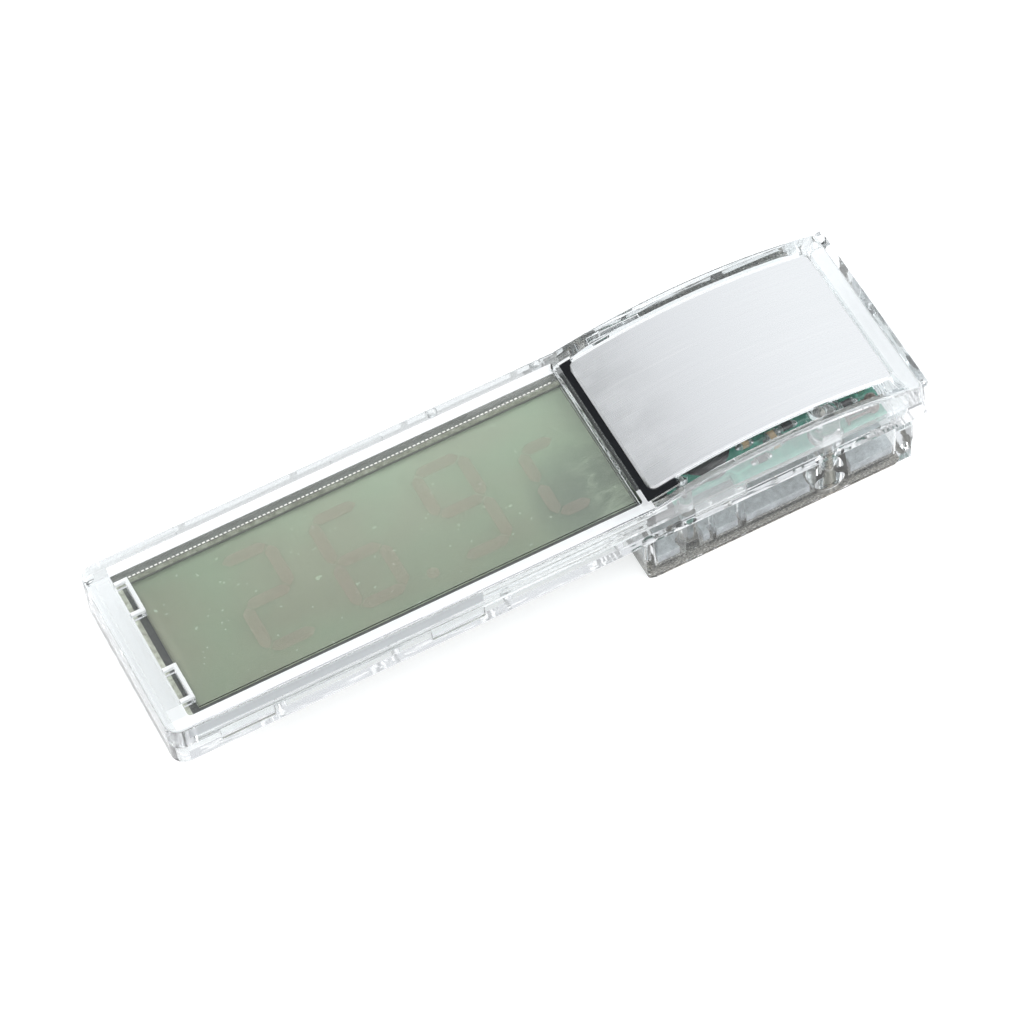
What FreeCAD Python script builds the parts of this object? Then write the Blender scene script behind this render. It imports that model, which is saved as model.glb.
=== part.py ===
"""Stick-on liquid-crystal thermometer in a clear case, as separate pieces. Millimetres.

The origin lies on the adhesive pad's lower face under the middle of the base, +Z is up, +X runs
from the display towards the metal plate, and y = 0 is the case's middle plane.
"""

import FreeCAD, Part
import math
import os

# ---- driving dimensions: case ----
BODY_LENGTH = 88.0
BODY_WIDTH = 23.2
BODY_HEIGHT = 5.9
BASE_LENGTH = 32.0
BASE_WIDTH = 22.4
BASE_HEIGHT = 6.9
PAD_THICKNESS = 0.6
END_OVERHANG = 1.7
WALL = 1.2
FLOOR = 1.0
SEAM_HEIGHT = 2.8
LEFT_CORNER_RADIUS = 1.6
RIGHT_CORNER_RADIUS = 0.7
EDGE_RADIUS = 0.3

# ---- driving dimensions: arched end and its metal plate ----
ARCH_RISE = 1.7
ARCH_HALF_CHORD = 15.0
ARCH_MIDDLE_X = 0.1
ROOF_THICKNESS = 1.35
PLATE_LENGTH = 28.85
PLATE_MIDDLE_X = 0.2
PLATE_WIDTH = 18.7
PLATE_THICKNESS = 0.4
PLATE_CORNER_RADIUS = 0.9
TAPE_THICKNESS = 0.1
TAPE_INSET = 0.8
RECESS_GAP = 0.12
MASK_LEG_END = -11.3
MASK_LEG_WIDTH = 1.6
MASK_NEAR = 10.35
MASK_FAR = 9.9
MASK_UNDERLAP = 0.6
END_WALL = 0.9
CHAMBER_END_WALL = 1.4

# ---- driving dimensions: display ----
WINDOW_LENGTH = 52.05
WINDOW_WIDTH = 20.6
DIVIDER = 0.45
DIVIDER_SETBACK = 0.65
DISPLAY_DEPTH = 1.35
GLASS_THICKNESS = 0.7
CELL_GAP = 0.1
POLARISER_THICKNESS = 0.2
LEDGE_LENGTH = 2.0
HOLDER_WALL = 0.4
GLASS_FIT = 0.2
SEAL_WIDTH = 0.7
LEFT_SEAL_WIDTH = 0.6
BORDER_WIDTH = 0.65
LEFT_BORDER_WIDTH = 0.85
FAR_BAND_WIDTH = 0.75
FAR_LINE_WIDTH = 0.2
DIGIT_HEIGHT = 13.2
DIGIT_WIDTH = 6.7
STROKE = 1.35
SEGMENT_GAP = 0.14
SEGMENT_THICKNESS = 0.06
FILM_INSET = 1.2
CLIP_REACH = 1.6
CLIP_WIDTH = 4.7
CLIP_BAR = 0.45
CLIP_EDGE_RADIUS = 0.15
CLIP_SPACING = 12.0
DIGITS = (("2", -57.3), ("6", -46.9), ("9", -34.9))
POINT_X = -37.9
UNIT_X = -23.9
UNIT_HEIGHT = 10.2
UNIT_WIDTH = 5.2

# ---- driving dimensions: electronics ----
BOARD_THICKNESS = 0.8
BOARD_LIFT = 0.3
BOARD_LENGTH = 28.0
BOARD_WIDTH = 19.8
CELL_DIAMETER = 11.6
CELL_HEIGHT = 3.1
CELL_EDGE = 0.3
CELL_SHOULDER = 0.35
CELL_STEP = 0.25
CELL_CRIMP = 0.7
CELL_GROOVE = 0.15
STRIP_THICKNESS = 0.2
LEAF_BEND = 0.15
LEAF_CURL = 1.2
LEAF_ARCH = 0.35
BLADE_BOW = 0.22
BLADE_INSET = 0.45
CONTACT_RISE = 0.5
X_NEGATIVE = -4.6
NEGATIVE_SPAN = (-2.6, -0.6)
POSITIVE_SPAN = (0.2, 2.2)
CHIP_PLACE = (-6.4, -5.2)
CHIP_COVER_RADIUS = 3.2
CHIP_COVER_RISE = 1.1
CRYSTAL_PLACE = (4.4, 6.0)
CRYSTAL_RADIUS = 0.75
CRYSTAL_LENGTH = 5.2
CRYSTAL_EDGE_RADIUS = 0.2
RESISTOR_SIZE = (1.6, 0.8, 0.45)
RESISTOR_PLACES = ((0.6, -6.2), (-1.2, -8.6), (9.7, -7.9), (2.9, -7.2), (10.2, -5.6))
CAPACITOR_SIZE = (1.25, 1.0, 0.8)
CAPACITOR_PLACES = ((0.9, -7.7), (-2.0, -7.0), (11.8, -6.7), (10.9, 2.6))
BEAD_PLACE = (11.9, -9.0)
BEAD_RADIUS = 0.7
LEAD_RADIUS = 0.15
LEAD_LENGTH = 3.0
LEAD_SPACING = 0.5
ZEBRA_WIDTH = 1.5
ZEBRA_INSET = 1.0
BOARD_GAP = 0.2
BOARD_HOLE_GAP = 0.25
BOARD_PAD_RADIUS = 0.8
BOARD_PAD_INSET = 1.2
BOARD_PAD_Y = 7.5
BOARD_NOTCH_END = -5.0
BOARD_NOTCH_Y = -8.6

# ---- driving dimensions: battery drawer and base ----
DRAWER_HALF_WIDTH = 6.3
DRAWER_TRAVEL = 16.0
DRAWER_FLOOR = 0.6
DRAWER_FIT = 0.1
RAIL_THICKNESS = 0.35
RAIL_CLEARANCE = 0.08
RAIL_SPAN = (-13.5, 13.8)
RAIL_LIFT = 0.8
NAIL_GROOVE = 0.5
NAIL_GROOVE_LIFT = 0.9
NAIL_GROOVE_HALF = 3.5
TAIL_GAP_HALF = 3.4
TAIL_END = -9.7
BLADE_GAP_HALF = 2.6
STOP_LENGTH = 0.9
DRAWER_BACK = 0.7
CELL_PROUD = 0.4
CELL_SETBACK = 0.5
MOUTH_BRIDGE = 0.5
LEFT_WALL = 1.0
RIGHT_WALL = 1.9
FRONT_THICKNESS = 1.8
BASE_CORNER_RADIUS = 0.4
WEIGHT_THICKNESS = 1.2
PAD_INSET = 0.25
PAD_RIGHT_INSET = 1.6
PAD_CORNER_RADIUS = 0.8
BASE_RIBS = ((-4.4, 0.6), (-7.9, 0.35))
BASE_RIB_REACH = 0.9
WEIGHT_GAP = 0.25

# ---- driving dimensions: screws ----
SCREW_RADIUS = 0.8
SCREW_ROOT = 0.6
SCREW_PITCH = 0.6
SCREW_HEAD_RADIUS = 1.65
SCREW_HEAD_HEIGHT = 1.0
SCREW_EDGE = 0.35
SCREW_SOCKET_RADIUS = 0.5
SCREW_TIP = 9.4
HOLE_CLEARANCE = 0.15
BOSS_RADIUS = 1.7
BASE_BOSS_LOW = 2.35
BASE_BOSS_HIGH = 1.9
SCREW_PLACES = ((6.2, -9.0), (-9.6, 9.0))
POST_PLACES = ((-10.5, -9.1), (6.2, 9.1))
POST_RADIUS = 0.75
POST_FOOT_LOW = 1.3
POST_FOOT_HIGH = 0.9

# ---- driving dimensions: latches, pegs, ribs and ridges of the case ----
LATCH_PLACES = (-62.0, -38.0, -7.3)
LATCH_LENGTH = 6.0
LATCH_DROP = 1.6
LATCH_THICKNESS = 0.55
LATCH_GAP = 0.08
PEG_PLACES = ((-28.9, 1), (-16.5, 1))
PEG_Y = 10.95
PEG_RADIUS = 0.45
PEG_GAP = 0.07
PEG_LENGTH = 1.4
PEG_SEAT_RADIUS = 0.85
DISPLAY_RIB_PLACES = (-58.0, -45.0, -32.0, -19.0)
DISPLAY_RIB_WIDTH = 0.8
RIDGE_COUNT = 5
RIDGE_PITCH = 0.45
RIDGE_HEIGHT = 0.35
RIDGES_LENGTH = 2.2
NUB_HEIGHT = 1.0
INNER_RADIUS = 0.4
TRAY_EDGE_RADIUS = 0.15

# ---- small allowances ----
JOIN = 0.1
GAP = 0.05
PAST = 1.0
EXACT = 1e-4

# ---- worked out from the above ----
X_RIGHT = BASE_LENGTH / 2 + END_OVERHANG
X_LEFT = X_RIGHT - BODY_LENGTH
X_COVER_END = X_RIGHT - END_WALL
X_ARCH = ARCH_MIDDLE_X - ARCH_HALF_CHORD
HALF_WIDTH = BODY_WIDTH / 2
HALF_BASE = BASE_WIDTH / 2
BASE_END = BASE_LENGTH / 2
Z_BODY = PAD_THICKNESS + BASE_HEIGHT
Z_TOP = Z_BODY + BODY_HEIGHT
Z_SEAM = Z_BODY + SEAM_HEIGHT
Z_FLOOR = Z_BODY + FLOOR
ARCH_RADIUS = (ARCH_HALF_CHORD**2 + ARCH_RISE**2) / (2 * ARCH_RISE)
ARCH_CENTRE_Z = Z_TOP + ARCH_RISE - ARCH_RADIUS

X_WINDOW_RIGHT = X_ARCH - DIVIDER_SETBACK
X_WINDOW_LEFT = X_WINDOW_RIGHT - WINDOW_LENGTH
HALF_WINDOW = WINDOW_WIDTH / 2
HALF_GLASS = HALF_WINDOW - GLASS_FIT
X_GLASS_LEFT = X_WINDOW_LEFT + GLASS_FIT
Z_DISPLAY = Z_TOP - DISPLAY_DEPTH
Z_FRONT_TOP = Z_DISPLAY - POLARISER_THICKNESS
Z_GAP_TOP = Z_FRONT_TOP - GLASS_THICKNESS
Z_REAR_TOP = Z_GAP_TOP - CELL_GAP
Z_SEGMENT = (Z_REAR_TOP + Z_GAP_TOP - SEGMENT_THICKNESS) / 2
Z_REAR_BOTTOM = Z_REAR_TOP - GLASS_THICKNESS
Z_DISPLAY_BOTTOM = Z_REAR_BOTTOM - POLARISER_THICKNESS

HALF_INSIDE = HALF_WIDTH - WALL
X_CHAMBER_LEFT = X_WINDOW_RIGHT + DIVIDER
X_CHAMBER_RIGHT = X_COVER_END - CHAMBER_END_WALL
X_LEDGE_END = X_CHAMBER_LEFT + LEDGE_LENGTH
X_HOLDER_LEFT = X_CHAMBER_LEFT - HOLDER_WALL
X_HOLDER_RIGHT = X_LEDGE_END + 2 * HOLDER_WALL

Z_BOARD = Z_FLOOR + BOARD_LIFT
Z_BOARD_TOP = Z_BOARD + BOARD_THICKNESS
BOARD_LEFT = X_CHAMBER_LEFT + BOARD_GAP
BOARD_RIGHT = BOARD_LEFT + BOARD_LENGTH

Z_BASE_FLOOR = PAD_THICKNESS + FLOOR
Z_WEIGHT_TOP = Z_BASE_FLOOR + WEIGHT_THICKNESS
Z_DRAWER = Z_WEIGHT_TOP + DRAWER_FIT
Z_CELL = Z_DRAWER + DRAWER_FLOOR
CELL_RADIUS = CELL_DIAMETER / 2
CELL_X = BASE_END - FRONT_THICKNESS - CELL_SETBACK - CELL_RADIUS
Z_MOUTH_TOP = Z_BODY - MOUTH_BRIDGE

PLATE_LEFT = PLATE_MIDDLE_X - PLATE_LENGTH / 2
PLATE_RIGHT = PLATE_LEFT + PLATE_LENGTH
MASK_LEFT = X_CHAMBER_LEFT + JOIN
ZEBRA_LEFT = X_CHAMBER_LEFT + GLASS_FIT
ZEBRA_RIGHT = ZEBRA_LEFT + ZEBRA_WIDTH
X_POSITIVE = CELL_X - CELL_RADIUS - CELL_EDGE
STOP_FACE = BASE_END - RIGHT_WALL - DRAWER_TRAVEL - DRAWER_FIT
SCREW_SEAT = PAD_THICKNESS + GAP + SCREW_HEAD_HEIGHT


# ---- helpers ----
def vector(x, y, z):
    return FreeCAD.Vector(x, y, z)


def box(x_low, x_high, y_low, y_high, z_low, z_high):
    corner = vector(x_low, y_low, z_low)
    return Part.makeBox(x_high - x_low, y_high - y_low, z_high - z_low, corner)


def side_box(x_low, x_high, side, y_inner, y_outer, z_low, z_high):
    """Block on the side +1 or -1 of the middle plane."""
    y_low, y_high = sorted((side * y_inner, side * y_outer))
    return box(x_low, x_high, y_low, y_high, z_low, z_high)


def even_box(x_low, x_high, half_width, z_low, z_high):
    return box(x_low, x_high, -half_width, half_width, z_low, z_high)


def upright(x, y, z_low, z_high, radius):
    return Part.makeCylinder(radius, z_high - z_low, vector(x, y, z_low))


def cone(x, y, z_low, z_high, low_radius, high_radius):
    return Part.makeCone(low_radius, high_radius, z_high - z_low, vector(x, y, z_low))


def fused(shapes):
    result = shapes[0]
    for shape in shapes[1:]:
        result = result.fuse(shape)
    return result.removeSplitter()


def cut_all(shape, tools):
    for tool in tools:
        shape = shape.cut(tool)
    return shape.removeSplitter()


def upright_edges(shape, x, half_width):
    """The shape's straight vertical edges at x, on the planes y = +-half_width."""
    found = []
    for edge in shape.Edges:
        bounds = edge.BoundBox
        is_upright = bounds.XLength < EXACT and bounds.YLength < EXACT
        is_corner = abs(bounds.XMin - x) < EXACT and abs(abs(bounds.YMin) - half_width) < EXACT
        if is_upright and is_corner:
            found.append(edge)
    return found


def rounded_corners(shape, corners, half_width):
    """Round the vertical edges; corners is a list of (x, radius)."""
    for x, radius in corners:
        shape = shape.makeFillet(radius, upright_edges(shape, x, half_width))
    return shape


def rounded_box(x_low, x_high, half_width, z_low, z_high, radius):
    block = even_box(x_low, x_high, half_width, z_low, z_high)
    return rounded_corners(block, [(x_low, radius), (x_high, radius)], half_width)


def edges_at_height(shape, z):
    """All edges that lie in the plane at height z."""
    return [
        edge
        for edge in shape.Edges
        if abs(edge.BoundBox.ZMin - z) < EXACT and abs(edge.BoundBox.ZMax - z) < EXACT
    ]


def arch_height(x, depth=0.0):
    """Height at x of the arch's surface, offset inwards by depth."""
    radius = ARCH_RADIUS - depth
    return ARCH_CENTRE_Z + math.sqrt(radius**2 - (x - ARCH_MIDDLE_X) ** 2)


def arch_edge(x_low, x_high, depth):
    middle = (x_low + x_high) / 2
    points = [vector(x, 0, arch_height(x, depth)) for x in (x_low, middle, x_high)]
    return Part.Arc(*points).toShape()


def extruded(edges, half_width):
    face = Part.Face(Part.Wire(edges))
    face.translate(vector(0, -half_width, 0))
    return face.extrude(vector(0, 2 * half_width, 0))


def under_arch(x_low, x_high, half_width, z_low, depth):
    """Solid from the level z_low up to the arch's surface lowered by depth."""
    top = arch_edge(x_low, x_high, depth)
    low_left = vector(x_low, 0, z_low)
    low_right = vector(x_high, 0, z_low)
    sides = [
        Part.makeLine(vector(x_high, 0, arch_height(x_high, depth)), low_right),
        Part.makeLine(low_right, low_left),
        Part.makeLine(low_left, vector(x_low, 0, arch_height(x_low, depth))),
    ]
    return extruded([top] + sides, half_width)


def arched_sheet(x_low, x_high, half_width, outer_depth, inner_depth, radius):
    """Sheet bent to the arch, between two depths below its surface, with rounded corners."""
    plan = rounded_box(x_low, x_high, half_width, Z_SEAM, Z_TOP + 2 * ARCH_RISE, radius)
    outer = under_arch(x_low - PAST, x_high + PAST, half_width + PAST, Z_SEAM - PAST, outer_depth)
    inner = under_arch(x_low - PAST, x_high + PAST, half_width + PAST, Z_SEAM - 2 * PAST, inner_depth)
    return plan.common(outer).cut(inner)


def ribbon(points, thickness, y_low, y_high):
    """Bent strip: (x, z) points along one side, offset to their left by the thickness."""
    normals = []
    for (x0, z0), (x1, z1) in zip(points, points[1:]):
        length = math.hypot(x1 - x0, z1 - z0)
        normals.append((-(z1 - z0) / length, (x1 - x0) / length))
    offset = []
    for index, (x, z) in enumerate(points):
        before = normals[max(index - 1, 0)]
        after = normals[min(index, len(normals) - 1)]
        scale = thickness / (1 + before[0] * after[0] + before[1] * after[1])
        offset.append((x + (before[0] + after[0]) * scale, z + (before[1] + after[1]) * scale))
    outline = list(points) + offset[::-1]
    corners = [vector(x, y_low, z) for x, z in outline]
    face = Part.Face(Part.makePolygon(corners + corners[:1]))
    return face.extrude(vector(0, y_high - y_low, 0))


def turned(outline, x, y, z):
    """Solid of revolution from (radius, height) points, with its foot's centre at (x, y, z)."""
    points = [vector(radius, 0, height) for radius, height in outline]
    face = Part.Face(Part.makePolygon(points + points[:1]))
    solid = face.revolve(vector(0, 0, 0), vector(0, 0, 1), 360)
    solid.translate(vector(x, y, z))
    return solid


def save(name, shape):
    solids = shape.Solids
    assert solids and all(solid.isValid() and solid.Volume > 0 for solid in solids), name
    kept = solids[0] if len(solids) == 1 else Part.makeCompound(solids)
    kept.exportStep("parts/" + name + ".step")


# ---- clear case ----
def case_outline(z_low, z_high, x_end):
    """Plan outline of the case as a tall block with rounded corners."""
    block = even_box(X_LEFT, x_end, HALF_WIDTH, z_low, z_high)
    corners = [(X_LEFT, LEFT_CORNER_RADIUS), (x_end, RIGHT_CORNER_RADIUS)]
    return rounded_corners(block, corners, HALF_WIDTH)


def both_sides(places):
    return [(x, side) for x in places for side in (-1, 1)]


def latch(x, side, slack):
    """Latch tongue hanging from the cover's skirt in the tray's outer face."""
    half = LATCH_LENGTH / 2 + slack
    inner = HALF_WIDTH - LATCH_THICKNESS - slack
    return side_box(x - half, x + half, side, inner, HALF_WIDTH, Z_SEAM - LATCH_DROP - slack, Z_SEAM)


def clip_loop(middle_y):
    """Rectangular loop that reaches over the display's left edge, with softened upper edges."""
    x_end = X_WINDOW_LEFT + CLIP_REACH
    half = CLIP_WIDTH / 2
    z_low = Z_DISPLAY + GAP
    z_high = Z_TOP - GAP
    outer = box(X_WINDOW_LEFT - JOIN, x_end, middle_y - half, middle_y + half, z_low, z_high)
    hole_half = half - CLIP_BAR
    hole = box(X_WINDOW_LEFT, x_end - CLIP_BAR, middle_y - hole_half, middle_y + hole_half, z_low, z_high)
    loop = outer.cut(hole)
    upper = [edge for edge in edges_at_height(loop, z_high) if edge.BoundBox.XMax > X_WINDOW_LEFT + GAP]
    return loop.makeFillet(CLIP_EDGE_RADIUS, upper)


def window_tool():
    z_low = Z_SEAM - PAST
    return rounded_box(X_WINDOW_LEFT, X_WINDOW_RIGHT, HALF_WINDOW, z_low, Z_TOP + PAST, INNER_RADIUS)


def ledge_room():
    """Room under the divider for the front glass and the connector."""
    x_low = X_WINDOW_RIGHT - PAST
    return even_box(x_low, X_CHAMBER_LEFT + PAST, HALF_WINDOW, Z_SEAM - PAST, Z_FRONT_TOP + GAP)


def plate_recess():
    return arched_sheet(
        PLATE_LEFT - RECESS_GAP,
        PLATE_RIGHT + RECESS_GAP,
        PLATE_WIDTH / 2 + RECESS_GAP,
        -PAST,
        PLATE_THICKNESS + TAPE_THICKNESS,
        PLATE_CORNER_RADIUS + RECESS_GAP,
    )


def mask_room():
    """Room in the cover's top for the light mask, open upwards."""
    x_low = X_ARCH - PAST
    x_high = MASK_LEG_END + PAST
    above = under_arch(x_low, x_high, HALF_WIDTH, Z_SEAM, -PAST)
    below = under_arch(
        x_low - PAST, x_high + PAST, HALF_WIDTH + PAST, Z_SEAM - PAST, PLATE_THICKNESS + TAPE_THICKNESS
    )
    return mask_plan(GAP).common(above).cut(below)


def cover_shell():
    """The cover's outside with its rounded rim, before any hollow is cut."""
    flat = even_box(X_LEFT, X_ARCH, HALF_WIDTH, Z_SEAM, Z_TOP)
    arched = under_arch(X_ARCH, X_COVER_END, HALF_WIDTH, Z_SEAM, 0)
    outline = case_outline(Z_SEAM, Z_TOP + ARCH_RISE + PAST, X_COVER_END)
    shell = flat.fuse(arched).common(outline).removeSplitter()
    rim = [edge for edge in shell.Edges if is_top_rim(edge)]
    return shell.makeFillet(EDGE_RADIUS, rim)


def top_cover():
    chamber = under_arch(X_CHAMBER_LEFT, X_CHAMBER_RIGHT, HALF_INSIDE, Z_SEAM - PAST, ROOF_THICKNESS)
    hollows = [window_tool(), ledge_room(), chamber, plate_recess(), mask_room()]
    pieces = [cut_all(cover_shell(), hollows)]
    pieces += [clip_loop(side * CLIP_SPACING / 2) for side in (-1, 1)]
    pieces += [latch(x, side, 0) for x, side in both_sides(LATCH_PLACES)]
    for x, side in PEG_PLACES:
        pieces.append(upright(x, side * PEG_Y, Z_SEAM - PEG_LENGTH, Z_SEAM + JOIN, PEG_RADIUS))
    return fused(pieces)


def is_top_rim(edge):
    """True for the outer edges round the cover's top, flat and arched."""
    bounds = edge.BoundBox
    is_high = bounds.ZMin > Z_TOP - PAST
    across_arch_start = abs(bounds.XMin - X_ARCH) < EXACT and abs(bounds.XMax - X_ARCH) < EXACT
    is_vertical = bounds.ZLength > EXACT and bounds.XLength < EXACT
    return is_high and not across_arch_start and not is_vertical


def tray_shell():
    """Open tray with the full-height wall at its right end."""
    z_end = arch_height(X_RIGHT)
    outer = case_outline(Z_BODY, z_end, X_RIGHT)
    outer = outer.makeFillet(TRAY_EDGE_RADIUS, edges_at_height(outer, Z_BODY))
    cover_room = even_box(X_LEFT - PAST, X_COVER_END + GAP, HALF_WIDTH + PAST, Z_SEAM, z_end + PAST)
    inside = rounded_box(X_LEFT + WALL, X_CHAMBER_RIGHT, HALF_INSIDE, Z_FLOOR, Z_SEAM + PAST, INNER_RADIUS)
    return cut_all(outer, [cover_room, inside])


def chamber_post(x, y, radius):
    """Post from the tray's floor to just under the arched roof."""
    post = upright(x, y, Z_FLOOR - JOIN, Z_TOP + ARCH_RISE, radius)
    reach = 2 * radius
    room = under_arch(x - reach, x + reach, HALF_INSIDE - GAP, Z_FLOOR - JOIN, ROOF_THICKNESS + JOIN)
    return post.common(room)


def peg_seat(x, side):
    seat = upright(x, side * PEG_Y, Z_FLOOR - JOIN, Z_SEAM, PEG_SEAT_RADIUS)
    return seat.common(even_box(x - PAST, x + PAST, HALF_WIDTH - GAP, Z_BODY, Z_SEAM))


def display_ribs():
    """Ribs across the tray that the display rests on."""
    width = DISPLAY_RIB_WIDTH
    lefts = [x - width / 2 for x in DISPLAY_RIB_PLACES]
    z_high = Z_DISPLAY_BOTTOM - EXACT
    return [even_box(x, x + width, HALF_INSIDE + JOIN, Z_FLOOR - JOIN, z_high) for x in lefts]


def lower_tray():
    pieces = [tray_shell()]
    pieces += [corner_nub(side) for side in (-1, 1)]
    pieces += display_ribs() + board_pads() + drawer_rails() + grip_ridges()
    pieces += [chamber_post(x, y, POST_RADIUS) for x, y in POST_PLACES]
    pieces += [chamber_post(x, y, BOSS_RADIUS) for x, y in SCREW_PLACES]
    pieces += [peg_seat(x, side) for x, side in PEG_PLACES]
    tray = fused(pieces)
    cuts = [latch(x, side, LATCH_GAP) for x, side in both_sides(LATCH_PLACES)]
    for x, side in PEG_PLACES:
        cuts.append(upright(x, side * PEG_Y, Z_SEAM - PEG_LENGTH - JOIN, Z_SEAM, PEG_RADIUS + PEG_GAP))
    cuts += [upright(x, y, Z_BODY, SCREW_TIP + HOLE_CLEARANCE, SCREW_RADIUS) for x, y in SCREW_PLACES]
    return cut_all(tray, cuts + contact_slots(Z_BODY, Z_FLOOR + JOIN))


def contact_slots(z_low, z_high):
    """Cutting blocks for the slots that the two battery contacts pass through."""
    negative = X_NEGATIVE + STRIP_THICKNESS / 2
    positive = X_POSITIVE - STRIP_THICKNESS / 2
    slots = []
    for middle, (y_low, y_high) in ((negative, NEGATIVE_SPAN), (positive, POSITIVE_SPAN)):
        x_low = middle - STRIP_THICKNESS
        slots.append(box(x_low, middle + STRIP_THICKNESS, y_low - JOIN, y_high + JOIN, z_low, z_high))
    return slots


def corner_nub(side):
    """Small pointed upstand at each corner of the tray's end wall, beside the arch's foot."""
    x_low = X_COVER_END + GAP
    y_outer = side * (HALF_WIDTH - RIGHT_CORNER_RADIUS / 2)
    y_inner = y_outer - side * NUB_HEIGHT
    low = arch_height(X_RIGHT) - EDGE_RADIUS
    corners = ((y_outer, low), (y_outer, low + NUB_HEIGHT), (y_inner, low))
    points = [vector(x_low, y, z) for y, z in corners]
    face = Part.Face(Part.makePolygon(points + points[:1]))
    return face.extrude(vector(END_WALL / 2, 0, 0))


def board_pads():
    """Pads that hold the circuit board off the tray's floor."""
    ends = (BOARD_LEFT + BOARD_PAD_INSET, BOARD_RIGHT - BOARD_PAD_INSET)
    places = [(x, y) for x in ends for y in (-BOARD_PAD_Y, 0, BOARD_PAD_Y)]
    return [upright(x, y, Z_FLOOR - JOIN, Z_BOARD, BOARD_PAD_RADIUS) for x, y in places]


def drawer_rails():
    """Guide rails under the tray, one each side of the battery drawer."""
    inner = DRAWER_HALF_WIDTH + RAIL_CLEARANCE
    outer = inner + RAIL_THICKNESS
    z_low = Z_WEIGHT_TOP + RAIL_LIFT
    return [side_box(*RAIL_SPAN, side, inner, outer, z_low, Z_BODY + JOIN) for side in (-1, 1)]


def grip_ridges():
    """Fine ridges across the tray's floor at its right end."""
    first = X_CHAMBER_RIGHT - RIDGES_LENGTH
    lines = [first + index * RIDGE_PITCH for index in range(RIDGE_COUNT)]
    z_high = Z_FLOOR + RIDGE_HEIGHT
    return [even_box(x, x + RIDGE_PITCH / 2, HALF_INSIDE + JOIN, Z_FLOOR - JOIN, z_high) for x in lines]


# ---- base ----
def base_rib(x, width, side):
    """Short upright rib on the inner side of the base's long wall."""
    x_low = x - width / 2
    y_inner = HALF_BASE - WALL - BASE_RIB_REACH
    z_low = Z_BASE_FLOOR - JOIN
    return side_box(x_low, x_low + width, side, y_inner, HALF_BASE - GAP, z_low, Z_BODY - JOIN)


def base_box():
    outer = rounded_box(-BASE_END, BASE_END, HALF_BASE, PAD_THICKNESS, Z_BODY, BASE_CORNER_RADIUS)
    x_low = -BASE_END + LEFT_WALL
    x_high = BASE_END - RIGHT_WALL
    inside = rounded_box(x_low, x_high, HALF_BASE - WALL, Z_BASE_FLOOR, Z_BODY + PAST, INNER_RADIUS)
    features = [cone(x, y, PAD_THICKNESS, Z_BODY, BASE_BOSS_LOW, BASE_BOSS_HIGH) for x, y in SCREW_PLACES]
    for x, y in POST_PLACES:
        features.append(cone(x, y, PAD_THICKNESS, Z_BODY - JOIN, POST_FOOT_LOW, POST_FOOT_HIGH))
    for x, width in BASE_RIBS:
        features += [base_rib(x, width, side) for side in (-1, 1)]
    shell = fused([outer.cut(inside)] + [feature.common(outer) for feature in features])
    cuts = []
    for x, y in SCREW_PLACES:
        cuts.append(upright(x, y, 0, SCREW_SEAT, SCREW_HEAD_RADIUS + HOLE_CLEARANCE))
        cuts.append(upright(x, y, 0, Z_BODY + PAST, SCREW_RADIUS + HOLE_CLEARANCE))
    mouth_half = DRAWER_HALF_WIDTH + DRAWER_FIT
    cuts.append(even_box(x_high - PAST, BASE_END + PAST, mouth_half, Z_DRAWER - DRAWER_FIT, Z_MOUTH_TOP))
    return cut_all(shell, cuts)


def weight_plate():
    """Steel plate on the base's floor, cut round the bosses, posts and ribs."""
    x_low = -BASE_END + LEFT_WALL + WEIGHT_GAP
    x_high = BASE_END - RIGHT_WALL - WEIGHT_GAP
    half = HALF_BASE - WALL - WEIGHT_GAP
    plate = rounded_box(x_low, x_high, half, Z_BASE_FLOOR, Z_WEIGHT_TOP, INNER_RADIUS)
    cuts = [upright(x, y, 0, Z_BODY, BASE_BOSS_LOW + WEIGHT_GAP) for x, y in SCREW_PLACES]
    cuts += [upright(x, y, 0, Z_BODY, POST_FOOT_LOW + WEIGHT_GAP) for x, y in POST_PLACES]
    y_inner = HALF_BASE - WALL - BASE_RIB_REACH - WEIGHT_GAP
    for x, width in BASE_RIBS:
        reach = width / 2 + WEIGHT_GAP
        cuts += [side_box(x - reach, x + reach, side, y_inner, HALF_BASE, 0, Z_BODY) for side in (-1, 1)]
    return cut_all(plate, cuts)


def adhesive_pad():
    """Foam pad under the base, short of the drawer's end."""
    x_low = -BASE_END + PAD_INSET
    x_high = BASE_END - PAD_RIGHT_INSET
    return rounded_box(x_low, x_high, HALF_BASE - PAD_INSET, 0, PAD_THICKNESS, PAD_CORNER_RADIUS)


# ---- battery drawer ----
def drawer_tail(side, x_high, z_high):
    """One side wall behind the cell's pocket, with the hook that ends the drawer's travel."""
    wall = side_box(TAIL_END, x_high, side, TAIL_GAP_HALF, DRAWER_HALF_WIDTH, Z_DRAWER, z_high)
    x_hook = STOP_FACE - STOP_LENGTH
    y_hook = DRAWER_HALF_WIDTH - WALL / 2
    hook = side_box(x_hook, STOP_FACE, side, TAIL_GAP_HALF, y_hook, z_high - JOIN, Z_BODY - 2 * DRAWER_FIT)
    return wall.fuse(hook)


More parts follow.
